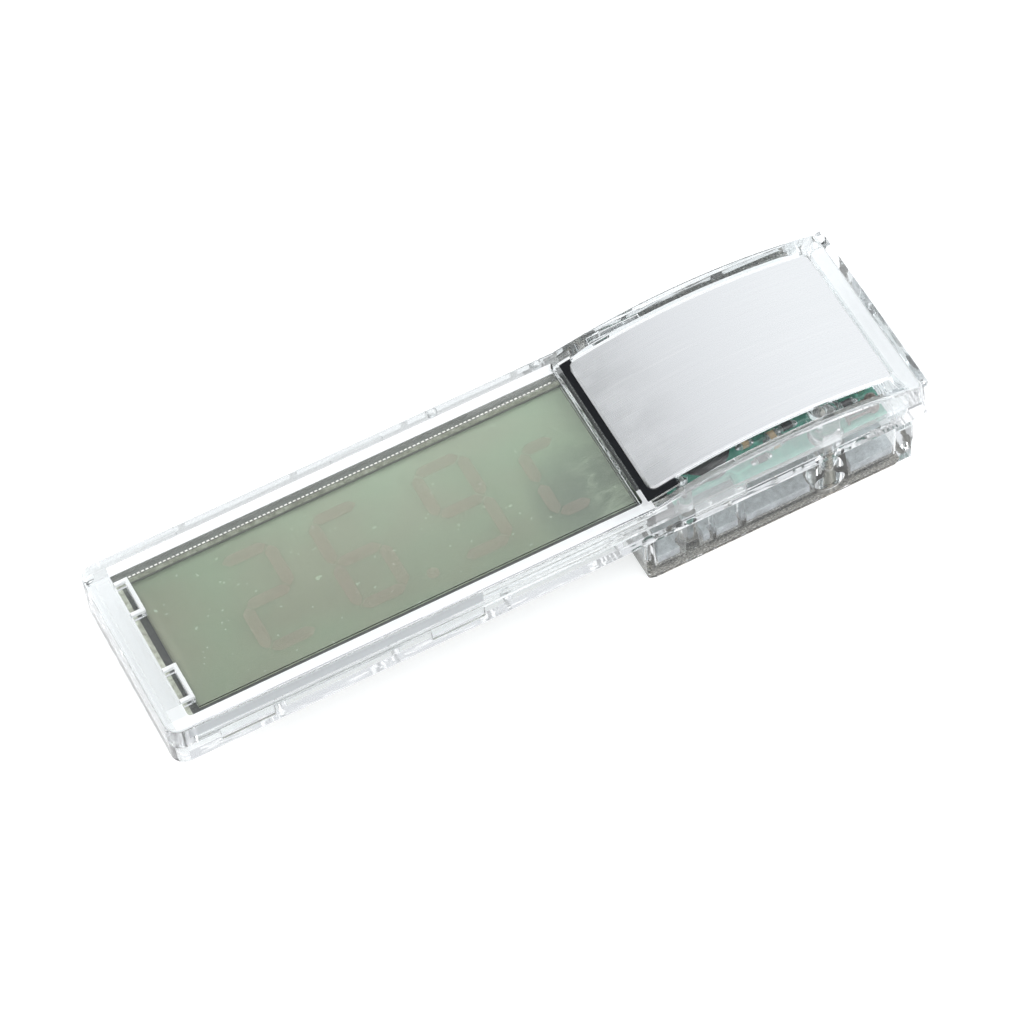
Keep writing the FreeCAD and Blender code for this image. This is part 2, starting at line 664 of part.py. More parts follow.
def battery_drawer():
    back = CELL_X - CELL_RADIUS - DRAWER_BACK
    front = BASE_END - FRONT_THICKNESS
    z_high = Z_CELL + CELL_HEIGHT - CELL_PROUD
    pieces = [even_box(back, front + JOIN, DRAWER_HALF_WIDTH, Z_DRAWER, z_high)]
    pieces += [drawer_tail(side, back + JOIN, z_high) for side in (-1, 1)]
    pieces.append(even_box(TAIL_END, back + JOIN, TAIL_GAP_HALF + JOIN, Z_DRAWER, Z_CELL))
    pieces.append(even_box(front, BASE_END, DRAWER_HALF_WIDTH, Z_DRAWER, Z_MOUTH_TOP - DRAWER_FIT))
    pocket = upright(CELL_X, 0, Z_CELL, Z_BODY, CELL_RADIUS + GAP)
    blade_gap = even_box(back - PAST, CELL_X, BLADE_GAP_HALF, Z_CELL, Z_BODY)
    z_groove = Z_DRAWER + NAIL_GROOVE_LIFT
    nail_groove = even_box(
        BASE_END - NAIL_GROOVE, BASE_END + PAST, NAIL_GROOVE_HALF, z_groove, z_groove + 2 * NAIL_GROOVE
    )
    return cut_all(fused(pieces), [pocket, blade_gap, nail_groove])


def button_cell():
    """Cell as a turned solid: can, rounded foot, gasket groove and raised negative cap."""
    radius = CELL_RADIUS
    top = CELL_HEIGHT
    shoulder = top - CELL_SHOULDER
    outline = [
        (0, 0),
        (radius - CELL_EDGE, 0),
        (radius, CELL_EDGE),
        (radius, shoulder - CELL_STEP),
        (radius - CELL_STEP, shoulder),
        (radius - CELL_CRIMP, shoulder),
        (radius - CELL_CRIMP, shoulder - CELL_GROOVE),
        (radius - CELL_CRIMP - CELL_GROOVE, shoulder - CELL_GROOVE),
        (radius - CELL_CRIMP - 2 * CELL_GROOVE, top - CELL_GROOVE),
        (radius - CELL_CRIMP - 3 * CELL_GROOVE, top),
        (0, top),
    ]
    return turned(outline, CELL_X, 0, Z_CELL)


def negative_contact():
    """Leaf spring from the board through the tray, above the cell's cap."""
    z_cap = Z_CELL + CELL_HEIGHT
    x_last = CELL_X + 2 * LEAF_CURL
    points = [
        (X_NEGATIVE, Z_BOARD_TOP + CONTACT_RISE),
        (X_NEGATIVE, Z_BODY - LEAF_BEND),
        (X_NEGATIVE + LEAF_CURL, Z_BODY - 3 * LEAF_BEND),
        (CELL_X - LEAF_CURL, z_cap + LEAF_ARCH),
        (CELL_X, z_cap + GAP),
        (CELL_X + LEAF_CURL, z_cap + LEAF_ARCH),
        (x_last, z_cap + LEAF_ARCH + LEAF_BEND),
    ]
    return ribbon(points, STRIP_THICKNESS, *NEGATIVE_SPAN)


def positive_contact():
    """Blade from the board through the tray, bowed towards the cell's can."""
    points = [
        (X_POSITIVE, Z_BOARD_TOP + CONTACT_RISE),
        (X_POSITIVE, Z_CELL + CELL_HEIGHT - BLADE_INSET),
        (X_POSITIVE + BLADE_BOW, Z_CELL + CELL_HEIGHT / 2),
        (X_POSITIVE, Z_CELL + BLADE_INSET),
    ]
    return ribbon(points, -STRIP_THICKNESS, *POSITIVE_SPAN)


# ---- face plate ----
def face_plate():
    return arched_sheet(PLATE_LEFT, PLATE_RIGHT, PLATE_WIDTH / 2, 0.0, PLATE_THICKNESS, PLATE_CORNER_RADIUS)


def plate_tape():
    return arched_sheet(
        PLATE_LEFT + TAPE_INSET,
        PLATE_RIGHT - TAPE_INSET,
        PLATE_WIDTH / 2 - TAPE_INSET,
        PLATE_THICKNESS,
        PLATE_THICKNESS + TAPE_THICKNESS,
        PLATE_CORNER_RADIUS,
    )


# ---- display ----
def front_glass():
    return even_box(X_GLASS_LEFT, X_LEDGE_END, HALF_GLASS, Z_GAP_TOP, Z_FRONT_TOP)


def rear_glass():
    return even_box(X_GLASS_LEFT, X_WINDOW_RIGHT, HALF_GLASS, Z_REAR_BOTTOM, Z_REAR_TOP)


def gap_strip(x_low, x_high, y_low, y_high):
    """Flat strip that fills the gap between the display's two glass plates."""
    return box(x_low, x_high, y_low, y_high, Z_REAR_TOP, Z_GAP_TOP)


def display_seal():
    """Glue bead round the liquid crystal, outside the border at the left and near edges."""
    x_in = X_GLASS_LEFT + LEFT_SEAL_WIDTH
    y_near = -HALF_GLASS + SEAL_WIDTH
    y_far = HALF_GLASS - FAR_BAND_WIDTH
    left = gap_strip(X_GLASS_LEFT, x_in, -HALF_GLASS, y_far)
    near = gap_strip(X_GLASS_LEFT, X_WINDOW_RIGHT, -HALF_GLASS, y_near)
    far = gap_strip(X_GLASS_LEFT, X_WINDOW_RIGHT, y_far - SEAL_WIDTH, y_far)
    return fused([left, near, far])


def display_border():
    """Black printed lines round the visible field, and the band along the far edge."""
    x_low = X_GLASS_LEFT + LEFT_SEAL_WIDTH
    x_field = x_low + LEFT_BORDER_WIDTH
    y_near = -HALF_GLASS + SEAL_WIDTH
    y_far = HALF_GLASS - FAR_BAND_WIDTH - SEAL_WIDTH
    left = gap_strip(x_low, x_field, y_near, y_far)
    near = gap_strip(x_low, X_WINDOW_RIGHT, y_near, y_near + BORDER_WIDTH)
    far_line = gap_strip(x_low, X_WINDOW_RIGHT, y_far - FAR_LINE_WIDTH, y_far)
    far_band = gap_strip(X_GLASS_LEFT, X_WINDOW_RIGHT, HALF_GLASS - FAR_BAND_WIDTH, HALF_GLASS)
    return Part.makeCompound([fused([left, near, far_line]), far_band])


def front_polariser():
    x_low = X_GLASS_LEFT + LEFT_SEAL_WIDTH + LEFT_BORDER_WIDTH
    return even_box(x_low, X_WINDOW_RIGHT - JOIN, HALF_GLASS - FILM_INSET, Z_FRONT_TOP, Z_DISPLAY)


def rear_polariser():
    half = HALF_GLASS - JOIN
    return even_box(X_GLASS_LEFT + JOIN, X_WINDOW_RIGHT - JOIN, half, Z_DISPLAY_BOTTOM, Z_REAR_BOTTOM)


def segment(x, y, length, along_x):
    """One hexagonal digit segment, centred at (x, y)."""
    half = length / 2 - SEGMENT_GAP
    side = STROKE / 2
    outline = [(-half, 0), (-half + side, side), (half - side, side)]
    outline += [(half, 0), (half - side, -side), (-half + side, -side)]
    if not along_x:
        outline = [(v, u) for u, v in outline]
    points = [vector(x + u, y + v, Z_SEGMENT) for u, v in outline]
    face = Part.Face(Part.makePolygon(points + points[:1]))
    return face.extrude(vector(0, 0, SEGMENT_THICKNESS))


SEGMENT_NAMES = {
    "2": "abged",
    "6": "afgedc",
    "9": "abcdfg",
    "C": "afed",
}


def digit(figure, x_low, y_low, width, height):
    """The segments of one figure, lettered a to g as on any seven-segment display."""
    x_mid = x_low + width / 2
    left = x_low + STROKE / 2
    right = x_low + width - STROKE / 2
    bottom = y_low + STROKE / 2
    top = y_low + height - STROKE / 2
    middle = (bottom + top) / 2
    across = width - STROKE
    up = (top - bottom) / 2
    places = {
        "a": (x_mid, top, across, True),
        "b": (right, (middle + top) / 2, up, False),
        "c": (right, (middle + bottom) / 2, up, False),
        "d": (x_mid, bottom, across, True),
        "e": (left, (middle + bottom) / 2, up, False),
        "f": (left, (middle + top) / 2, up, False),
        "g": (x_mid, middle, across, True),
    }
    return [segment(*places[name]) for name in SEGMENT_NAMES[figure]]


def display_segments():
    """Two whole figures, a point, a figure after it, and the smaller unit sign."""
    y_low = -DIGIT_HEIGHT / 2
    solids = digit("C", UNIT_X, y_low, UNIT_WIDTH, UNIT_HEIGHT)
    for figure, x_low in DIGITS:
        solids += digit(figure, x_low, y_low, DIGIT_WIDTH, DIGIT_HEIGHT)
    radius = STROKE / 2
    point = upright(POINT_X, y_low + radius, Z_SEGMENT, Z_SEGMENT + SEGMENT_THICKNESS, radius)
    return Part.makeCompound(solids + [point])


# ---- connector and circuit board ----
def connector_holder():
    block = even_box(X_HOLDER_LEFT, X_HOLDER_RIGHT, HALF_GLASS, Z_BOARD_TOP, Z_GAP_TOP - GAP)
    return block.cut(zebra_strip())


def zebra_strip():
    return even_box(ZEBRA_LEFT, ZEBRA_RIGHT, HALF_GLASS - ZEBRA_INSET, Z_BOARD_TOP, Z_GAP_TOP)


def mask_plan(slack):
    """L-shaped block that the light mask and its room in the cover are cut from."""
    x_low = MASK_LEFT - slack
    y_low = -MASK_NEAR - slack
    z_high = Z_TOP + ARCH_RISE
    strip = box(x_low, PLATE_LEFT + MASK_UNDERLAP, y_low, MASK_FAR + slack, Z_SEAM, z_high)
    leg = box(x_low, MASK_LEG_END + slack, y_low, -MASK_NEAR + MASK_LEG_WIDTH, Z_SEAM, z_high)
    return strip.fuse(leg)


def light_mask():
    """Black L-shaped tape that hides the display's connector beside and under the plate."""
    x_low = X_ARCH - PAST
    x_high = MASK_LEG_END + PAST
    depth = PLATE_THICKNESS + TAPE_THICKNESS
    top = under_arch(x_low, x_high, HALF_WIDTH, Z_SEAM, PLATE_THICKNESS)
    bottom = under_arch(x_low - PAST, x_high + PAST, HALF_WIDTH + PAST, Z_SEAM - PAST, depth)
    return mask_plan(0).common(top).cut(bottom).removeSplitter()


def circuit_board():
    """Board with its near left corner cut away, and holes for the bosses, posts and contacts."""
    board = even_box(BOARD_LEFT, BOARD_RIGHT, BOARD_WIDTH / 2, Z_BOARD, Z_BOARD_TOP)
    cuts = [box(BOARD_LEFT - PAST, BOARD_NOTCH_END, -BOARD_WIDTH, BOARD_NOTCH_Y, Z_BODY, Z_SEAM)]
    cuts += [upright(x, y, Z_BODY, Z_SEAM, BOSS_RADIUS + BOARD_HOLE_GAP) for x, y in SCREW_PLACES]
    cuts += [upright(x, y, Z_BODY, Z_SEAM, POST_RADIUS + BOARD_HOLE_GAP) for x, y in POST_PLACES]
    return cut_all(board, cuts + contact_slots(Z_BODY, Z_SEAM))


def chip_cover():
    """Domed drop of resin over the chip."""
    radius = (CHIP_COVER_RADIUS**2 + CHIP_COVER_RISE**2) / (2 * CHIP_COVER_RISE)
    x, y = CHIP_PLACE
    sphere = Part.makeSphere(radius, vector(x, y, Z_BOARD_TOP + CHIP_COVER_RISE - radius))
    reach = CHIP_COVER_RADIUS + PAST
    above = box(x - reach, x + reach, y - reach, y + reach, Z_BOARD_TOP, Z_BOARD_TOP + 2 * CHIP_COVER_RISE)
    return sphere.common(above)


def crystal_can():
    x, y = CRYSTAL_PLACE
    foot = vector(x, y, Z_BOARD_TOP + CRYSTAL_RADIUS)
    can = Part.makeCylinder(CRYSTAL_RADIUS, CRYSTAL_LENGTH, foot, vector(1, 0, 0))
    return can.makeFillet(CRYSTAL_EDGE_RADIUS, can.Edges[:1])


def chip_parts(places, size):
    """One block of the given length, width and height at each place on the board."""
    length, width, height = size
    blocks = []
    for x, y in places:
        x_low = x - length / 2
        y_low = y - width / 2
        blocks.append(box(x_low, x_low + length, y_low, y_low + width, Z_BOARD_TOP, Z_BOARD_TOP + height))
    return Part.makeCompound(blocks)


def temperature_sensor():
    """Bead thermistor lying by the board's edge, on two bent leads."""
    x, y = BEAD_PLACE
    z = Z_BOARD_TOP + BEAD_RADIUS + GAP
    x_foot = x - LEAD_LENGTH
    pieces = [Part.makeSphere(BEAD_RADIUS, vector(x, y, z))]
    for y_lead in (y - LEAD_SPACING / 2, y + LEAD_SPACING / 2):
        foot = vector(x_foot, y_lead, z)
        pieces.append(Part.makeCylinder(LEAD_RADIUS, LEAD_LENGTH, foot, vector(1, 0, 0)))
        pieces.append(upright(x_foot, y_lead, Z_BOARD_TOP, z + LEAD_RADIUS, LEAD_RADIUS))
    return fused(pieces)


# ---- screws ----
def case_screw(x, y):
    """Self-tapping screw: turned head with a socket, ringed shank and pointed tip."""
    edge = SCREW_EDGE
    outline = [
        (0, edge),
        (SCREW_SOCKET_RADIUS, edge),
        (SCREW_SOCKET_RADIUS, 0),
        (SCREW_HEAD_RADIUS - edge, 0),
        (SCREW_HEAD_RADIUS, edge),
        (SCREW_HEAD_RADIUS, SCREW_HEAD_HEIGHT),
        (SCREW_RADIUS, SCREW_HEAD_HEIGHT),
    ]
    length = SCREW_TIP - SCREW_SEAT + SCREW_HEAD_HEIGHT
    rings = int((length - SCREW_HEAD_HEIGHT - SCREW_RADIUS) / SCREW_PITCH)
    for ring in range(rings):
        z = SCREW_HEAD_HEIGHT + ring * SCREW_PITCH
        outline.append((SCREW_RADIUS, z + SCREW_PITCH / 4))
        outline.append((SCREW_ROOT, z + SCREW_PITCH / 2))
        outline.append((SCREW_ROOT, z + SCREW_PITCH * 3 / 4))
    outline += [(SCREW_RADIUS, length - SCREW_RADIUS), (0, length)]
    return turned(outline, x, y, SCREW_SEAT - SCREW_HEAD_HEIGHT)


def base_screws():
    return Part.makeCompound([case_screw(x, y) for x, y in SCREW_PLACES])


def main():
    os.makedirs("parts", exist_ok=True)
    save("top_cover", top_cover())
    save("lower_tray", lower_tray())
    save("base_box", base_box())
    save("weight_plate", weight_plate())
    save("adhesive_pad", adhesive_pad())
    save("battery_drawer", battery_drawer())
    save("button_cell", button_cell())
    save("negative_contact", negative_contact())
    save("positive_contact", positive_contact())
    save("face_plate", face_plate())
    save("plate_tape", plate_tape())
    save("display_front_glass", front_glass())
    save("display_rear_glass", rear_glass())
    save("display_border", display_border())
    save("display_seal", display_seal())
    save("front_polariser", front_polariser())
    save("rear_polariser", rear_polariser())
    save("display_segments", display_segments())
    save("connector_holder", connector_holder())
    save("zebra_strip", zebra_strip())
    save("light_mask", light_mask())
    save("circuit_board", circuit_board())
    save("chip_cover", chip_cover())
    save("crystal_can", crystal_can())
    save("chip_resistors", chip_parts(RESISTOR_PLACES, RESISTOR_SIZE))
    save("chip_capacitors", chip_parts(CAPACITOR_PLACES, CAPACITOR_SIZE))
    save("temperature_sensor", temperature_sensor())
    save("base_screws", base_screws())


main()
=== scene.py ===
"""Looks of a stick-on digital thermometer in a clear case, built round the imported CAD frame."""

import math

import bmesh
import bpy
from mathutils import Matrix, Vector


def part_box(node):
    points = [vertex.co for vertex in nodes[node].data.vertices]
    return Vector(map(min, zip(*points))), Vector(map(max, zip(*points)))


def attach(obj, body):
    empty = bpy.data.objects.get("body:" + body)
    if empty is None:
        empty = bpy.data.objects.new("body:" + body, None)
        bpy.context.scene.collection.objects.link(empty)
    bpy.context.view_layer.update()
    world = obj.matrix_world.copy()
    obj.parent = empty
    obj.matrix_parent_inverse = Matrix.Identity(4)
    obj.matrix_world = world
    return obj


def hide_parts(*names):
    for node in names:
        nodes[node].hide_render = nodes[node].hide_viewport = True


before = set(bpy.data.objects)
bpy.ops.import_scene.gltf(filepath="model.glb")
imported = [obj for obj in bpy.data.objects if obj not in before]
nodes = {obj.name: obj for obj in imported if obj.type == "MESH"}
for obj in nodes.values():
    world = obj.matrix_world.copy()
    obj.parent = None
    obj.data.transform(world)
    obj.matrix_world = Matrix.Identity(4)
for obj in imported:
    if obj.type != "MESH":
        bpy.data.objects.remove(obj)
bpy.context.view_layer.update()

MM = 0.001
CLEAR_NODES = (
    "top_cover",
    "lower_tray",
    "base_box",
    "battery_drawer",
    "display_front_glass",
    "display_rear_glass",
)
BEVELLED_NODES = ("base_box", "battery_drawer", "lower_tray")

# ---- camera ----
AIM = Vector((-27.51, -3.63, 12.05)) * MM
CAMERA_AZIMUTH = -21.18
CAMERA_ELEVATION = 55.67
CAMERA_ROLL = -7.26
CAMERA_DISTANCE = 498.5 * MM
LENS = 169.2
SENSOR_WIDTH = 36.0
NEAREST, FARTHEST = 0.01, 20.0

# ---- light and floor ----
WORLD_STRENGTH = 0.95
WORLD_STOPS = ((0.35, (0.50, 0.51, 0.52)), (0.58, (0.84, 0.86, 0.89)), (0.75, (0.95, 0.975, 1.0)))
FLOOR_SIZE = 6.0
FLOOR_COLOUR = (0.55, 0.55, 0.555)
FLOOR_GLOW = 0.55
FLOOR_LIGHT = (1.0, 1.0, 1.0)
MOST_BOUNCES = 32
CLEAR_BOUNCES = 24

# ---- colours of the clear plastic, its frosted zones and its painted shade ----
CLEAR_TINT = (0.935, 0.95, 0.955)
PALE_FROST = (0.80, 0.82, 0.82)
# painted shade: grey of the band along the near wall
PAINTED_SHADE_GREY = (0.46, 0.48, 0.50)

# ---- shapes, in millimetres and degrees ----
SHARP_ANGLE = 28.65
EDGE_SOFTNESS = 0.06
EDGE_ANGLE = 50
WELD_REACH = 0.002
CLEAR_SHRINK = 0.01
PAD_LIFT = 0.02
PLATE_THICKNESS = 0.4
PLATE_CHAMFER = 0.22
PLATE_CORNER = 0.9
PLATE_COLUMNS = 12
PLATE_ROWS = 60
ARCH_MIDDLE_X = 0.1
ARCH_RADIUS = 67.03
SCREW_HEAD_RADIUS = 1.65
SCREW_HEAD_HEIGHT = 1.0
SCREW_HEAD_ROUND = 0.35
SCREW_RADIUS = 0.8
SCREW_ROOT = 0.58
SCREW_TIP = 1.2
SCREW_SIDES = 40
RECESS_DEPTH = 0.3
RECESS_FLOOR = 0.12
RECESS_CORE = 0.3
RECESS_MOUTH = 0.42
RECESS_ARM = 0.3
THREAD_PITCH = 0.6
THREAD_STEPS = 8
RESISTOR_SIZE = (1.6, 0.8, 0.45)
CAPACITOR_SIZE = (1.25, 1.0, 0.8)
CHIP_CAP = 0.25
CHIP_INSET = 0.03
CHIP_BODY_ROUND = 0.04
CHIP_CAP_ROUND = 0.05
RESISTOR_FILLET_REACH = 0.95
CAPACITOR_FILLET_REACH = 0.78
FILLET_RADIUS, FILLET_HEIGHT = 0.33, 0.22
VIA_RADIUS, VIA_HEIGHT = 0.3, 0.06
TRACK_HALF_WIDTH, TRACK_HEIGHT = 0.16, 0.03
DOME_SIDES = 16
DOME_STEPS = 4
DOME_CLOSING = 0.94
TICK_PITCH = 0.5
TICK_LENGTH = 0.3
TICK_HALF_WIDTH = 0.1
TICK_ABOVE, TICK_BELOW = 0.03, 0.01
TICK_ROUND = 0.008
TICKS_FROM_FAR_EDGE = 1.0
TICKS_FROM_LEFT, TICKS_FROM_RIGHT = 1.2, 0.4
RESISTOR_PLACES = ((0.6, -6.2), (-1.2, -8.6), (9.7, -7.9), (2.9, -7.2), (10.2, -5.6))
CAPACITOR_PLACES = ((0.9, -7.7), (-2.0, -7.0), (11.8, -6.7), (10.9, 2.6))
VIA_PLACES = (
    (-1.0, -4.4),
    (1.9, -4.2),
    (4.1, -4.9),
    (7.9, -4.0),
    (8.6, -2.2),
    (12.4, -4.2),
    (3.4, 1.8),
    (-3.0, 6.5),
    (0.4, 8.3),
)
TRACKS = (
    ((-3.2, -6.2), (-0.3, -6.2)),
    ((1.5, -6.2), (2.3, -5.4), (7.8, -5.4), (9.3, -5.6)),
    ((-2.9, -7.0), (-2.7, -7.0)),
    ((-1.3, -7.0), (-0.6, -7.7), (0.2, -7.7)),
    ((1.6, -7.7), (2.1, -7.2)),
    ((3.7, -7.2), (4.0, -6.1), (8.3, -6.1), (8.9, -7.9)),
    ((10.5, -7.9), (11.1, -7.9), (11.1, -6.7)),
    ((11.0, -5.6), (12.5, -5.6), (12.5, -6.7)),
    ((-3.5, -4.4), (-1.0, -4.4), (-0.2, -5.2), (1.9, -4.2)),
    ((1.9, -4.2), (4.1, -4.9), (7.0, -4.9), (7.9, -4.0)),
    ((-4.4, -2.9), (-4.4, -1.0), (3.4, 1.8), (4.2, 5.5)),
    ((8.6, -2.2), (10.3, -0.5), (10.3, 2.6)),
    ((11.5, 2.6), (12.4, 1.7), (12.4, -4.2)),
    ((-8.0, -2.7), (-8.0, 1.5), (-3.0, 6.5), (0.4, 8.3)),
    ((-1.9, -8.6), (-4.2, -8.9), (-4.7, -8.2), (-5.6, -7.9)),
)


# ---- camera, light and floor ----
def direction(azimuth, elevation):
    """Unit vector from the object's middle; azimuth 0 is the near side, and 90 the right end."""
    a, e = math.radians(azimuth), math.radians(elevation)
    return Vector((math.sin(a) * math.cos(e), -math.cos(a) * math.cos(e), math.sin(e)))


def add_to_scene(name, data):
    made = bpy.data.objects.new(name, data)
    bpy.context.scene.collection.objects.link(made)
    return made


def make_camera():
    back = direction(CAMERA_AZIMUTH, CAMERA_ELEVATION)
    camera = add_to_scene("camera", bpy.data.cameras.new("camera"))
    camera.data.lens = LENS
    camera.data.sensor_width = SENSOR_WIDTH
    camera.data.clip_start = NEAREST
    camera.data.clip_end = FARTHEST
    roll = Matrix.Rotation(math.radians(CAMERA_ROLL), 3, "Z")
    turn = (-back).to_track_quat("-Z", "Y").to_matrix() @ roll
    camera.matrix_world = Matrix.Translation(AIM + back * CAMERA_DISTANCE) @ turn.to_4x4()
    bpy.context.scene.camera = camera


def soft_box(name, azimuth, elevation, distance, size, power):
    """Rectangular lamp aimed at the object's middle."""
    lamp = bpy.data.lights.new(name, "AREA")
    lamp.shape = "RECTANGLE"
    lamp.size, lamp.size_y = size
    lamp.energy = power
    holder = add_to_scene(name, lamp)
    back = direction(azimuth, elevation)
    holder.location = AIM + back * distance
    holder.rotation_mode = "QUATERNION"
    holder.rotation_quaternion = (-back).to_track_quat("-Z", "Y")


def set_stops(ramp, stops):
    """Give a colour ramp its stops of (position, colour)."""
    elements = ramp.color_ramp.elements
    while len(elements) < len(stops):
        elements.new(0.5)
    for element, (position, colour) in zip(elements, stops):
        element.position = position
        element.color = (*colour, 1.0)


def make_world():
    """Even studio light, dimmer towards the object's left."""
    world = bpy.data.worlds.new("studio")
    world.use_nodes = True
    bpy.context.scene.world = world
    tree = world.node_tree
    background = tree.nodes["Background"]
    background.inputs["Strength"].default_value = WORLD_STRENGTH
    coordinates = tree.nodes.new("ShaderNodeTexCoord")
    split = tree.nodes.new("ShaderNodeSeparateXYZ")
    ramp = tree.nodes.new("ShaderNodeValToRGB")
    set_stops(ramp, WORLD_STOPS)
    to_unit = tree.nodes.new("ShaderNodeMath")
    to_unit.operation = "MULTIPLY_ADD"
    to_unit.inputs[1].default_value = 0.5
    to_unit.inputs[2].default_value = 0.5
    tree.links.new(coordinates.outputs["Generated"], split.inputs["Vector"])
    tree.links.new(split.outputs["X"], to_unit.inputs[0])
    tree.links.new(to_unit.outputs["Value"], ramp.inputs["Fac"])
    tree.links.new(ramp.outputs["Color"], background.inputs["Color"])


def make_floor():
    half = FLOOR_SIZE / 2
    corners = [(-half, -half, 0), (half, -half, 0), (half, half, 0), (-half, half, 0)]
    mesh = bpy.data.meshes.new("floor")
    mesh.from_pydata(corners, [], [(0, 1, 2, 3)])
    paper = Material("pale_floor")
    paper.shader(base=FLOOR_COLOUR, roughness=0.9, emission_strength=FLOOR_GLOW)
    paper.principled.inputs["Emission Color"].default_value = (*FLOOR_LIGHT, 1.0)
    mesh.materials.append(paper.data)
    add_to_scene("floor", mesh)


# ---- materials ----
class Material:
    """A node material with one Principled shader, and short calls for its patterns."""

    def __init__(self, name):
        self.data = bpy.data.materials.new(name)
        self.data.use_nodes = True
        self.tree = self.data.node_tree
        self.principled = self.tree.nodes["Principled BSDF"]
        self.output = self.tree.nodes["Material Output"]

    def shader(self, base=None, **values):
        """Plain values for the shader's sockets, named in lower case with underscores."""
        if base is not None:
            self.principled.inputs["Base Color"].default_value = (*base, 1.0)
        for name, value in values.items():
            socket = name.replace("_", " ").title().replace("Ior", "IOR")
            self.principled.inputs[socket].default_value = value

    def node(self, kind, **values):
        made = self.tree.nodes.new(kind)
        for name, value in values.items():
            setattr(made, name, value)
        return made

    def link(self, start, end):
        self.tree.links.new(start, end)

    def place(self, scale):
        """Object coordinates in metres, times a scale for each axis."""
        coordinates = self.node("ShaderNodeTexCoord")
        mapping = self.node("ShaderNodeMapping")
        mapping.inputs["Scale"].default_value = scale
        self.link(coordinates.outputs["Object"], mapping.inputs["Vector"])
        return mapping.outputs["Vector"]

    def noise(self, scale, detail=4.0, roughness=0.55, distortion=0.0):
        """Noise with so many blobs to a metre: one number for all axes, or one for each."""
        scales = scale if isinstance(scale, tuple) else (scale, scale, scale)
        texture = self.node("ShaderNodeTexNoise")
        texture.inputs["Scale"].default_value = 1.0
        texture.inputs["Detail"].default_value = detail
        texture.inputs["Roughness"].default_value = roughness
        texture.inputs["Distortion"].default_value = distortion
        self.link(self.place(scales), texture.inputs["Vector"])
        return texture.outputs["Fac"]

    def ramp(self, value, stops):
        """Colour ramp through stops of (position, colour)."""
        ramp = self.node("ShaderNodeValToRGB")
        set_stops(ramp, stops)
        self.link(value, ramp.inputs["Fac"])
        return ramp.outputs["Color"]

    def span(self, value, low, high, low_out, high_out):
        """Map value from low..high to low_out..high_out, held at both ends."""
        made = self.node("ShaderNodeMapRange")
        made.inputs["From Min"].default_value = low
        made.inputs["From Max"].default_value = high
        made.inputs["To Min"].default_value = low_out
        made.inputs["To Max"].default_value = high_out
        self.link(value, made.inputs["Value"])
        return made.outputs["Result"]

    def maths(self, operation, first, second):
        made = self.node("ShaderNodeMath", operation=operation)
        for socket, value in zip(made.inputs, (first, second)):
            if isinstance(value, (int, float)):
                socket.default_value = value
            else:
                self.link(value, socket)
        return made.outputs["Value"]

    def times(self, first, second):
        return self.maths("MULTIPLY", first, second)

    def axis(self, name):
        """One object coordinate, in metres."""
        split = self.node("ShaderNodeSeparateXYZ")
        self.link(self.place((1, 1, 1)), split.inputs["Vector"])
        return split.outputs[name]

    def within(self, low, high):
        """1 inside the box from low to high, and 0 outside it."""
        inside = 1.0
        for name, start, end in zip("XYZ", low, high):
            value = self.axis(name)
            past_start = self.maths("GREATER_THAN", value, start)
            before_end = self.maths("LESS_THAN", value, end)
            inside = self.times(inside, self.times(past_start, before_end))
        return inside

    def mix(self, first, second, amount):
        """first where amount is 0, and second where it is 1; each is a colour or an output."""
        made = self.node("ShaderNodeMix", data_type="RGBA")
        sockets = [socket for socket in made.inputs if socket.type == "RGBA"]
        for socket, value in zip(sockets, (first, second)):
            if isinstance(value, tuple):
                socket.default_value = (*value, 1.0)
            else:
                self.link(value, socket)
        self.link(amount, made.inputs["Factor"])
        return next(output for output in made.outputs if output.type == "RGBA")

    def scaled(self, colour, tone):
        """The colour times a number."""
        made = self.node("ShaderNodeVectorMath", operation="SCALE")
        self.link(colour, made.inputs[0])
        self.link(tone, made.inputs["Scale"])
        return made.outputs["Vector"]

    def colour(self, value):
        self.link(value, self.principled.inputs["Base Color"])

    def rough(self, value):
        self.link(value, self.principled.inputs["Roughness"])

    def bump(self, height, strength, distance):
        """Relief of the given distance, in millimetres."""
        made = self.node("ShaderNodeBump")
        made.inputs["Strength"].default_value = strength
        made.inputs["Distance"].default_value = distance * MM
        self.link(height, made.inputs["Height"])
        self.link(made.outputs["Normal"], self.principled.inputs["Normal"])

    def let_lamps_through(self, tint):
        """Lamps shine through: the shader is plain transparent for shadow rays."""
        path = self.node("ShaderNodeLightPath")
        clear = self.node("ShaderNodeBsdfTransparent")
        clear.inputs["Color"].default_value = (*tint, 1.0)
        mix = self.node("ShaderNodeMixShader")
        self.link(path.outputs["Is Shadow Ray"], mix.inputs["Fac"])
        self.link(self.principled.outputs["BSDF"], mix.inputs[1])
        self.link(clear.outputs["BSDF"], mix.inputs[2])
        self.link(mix.outputs["Shader"], self.output.inputs["Surface"])


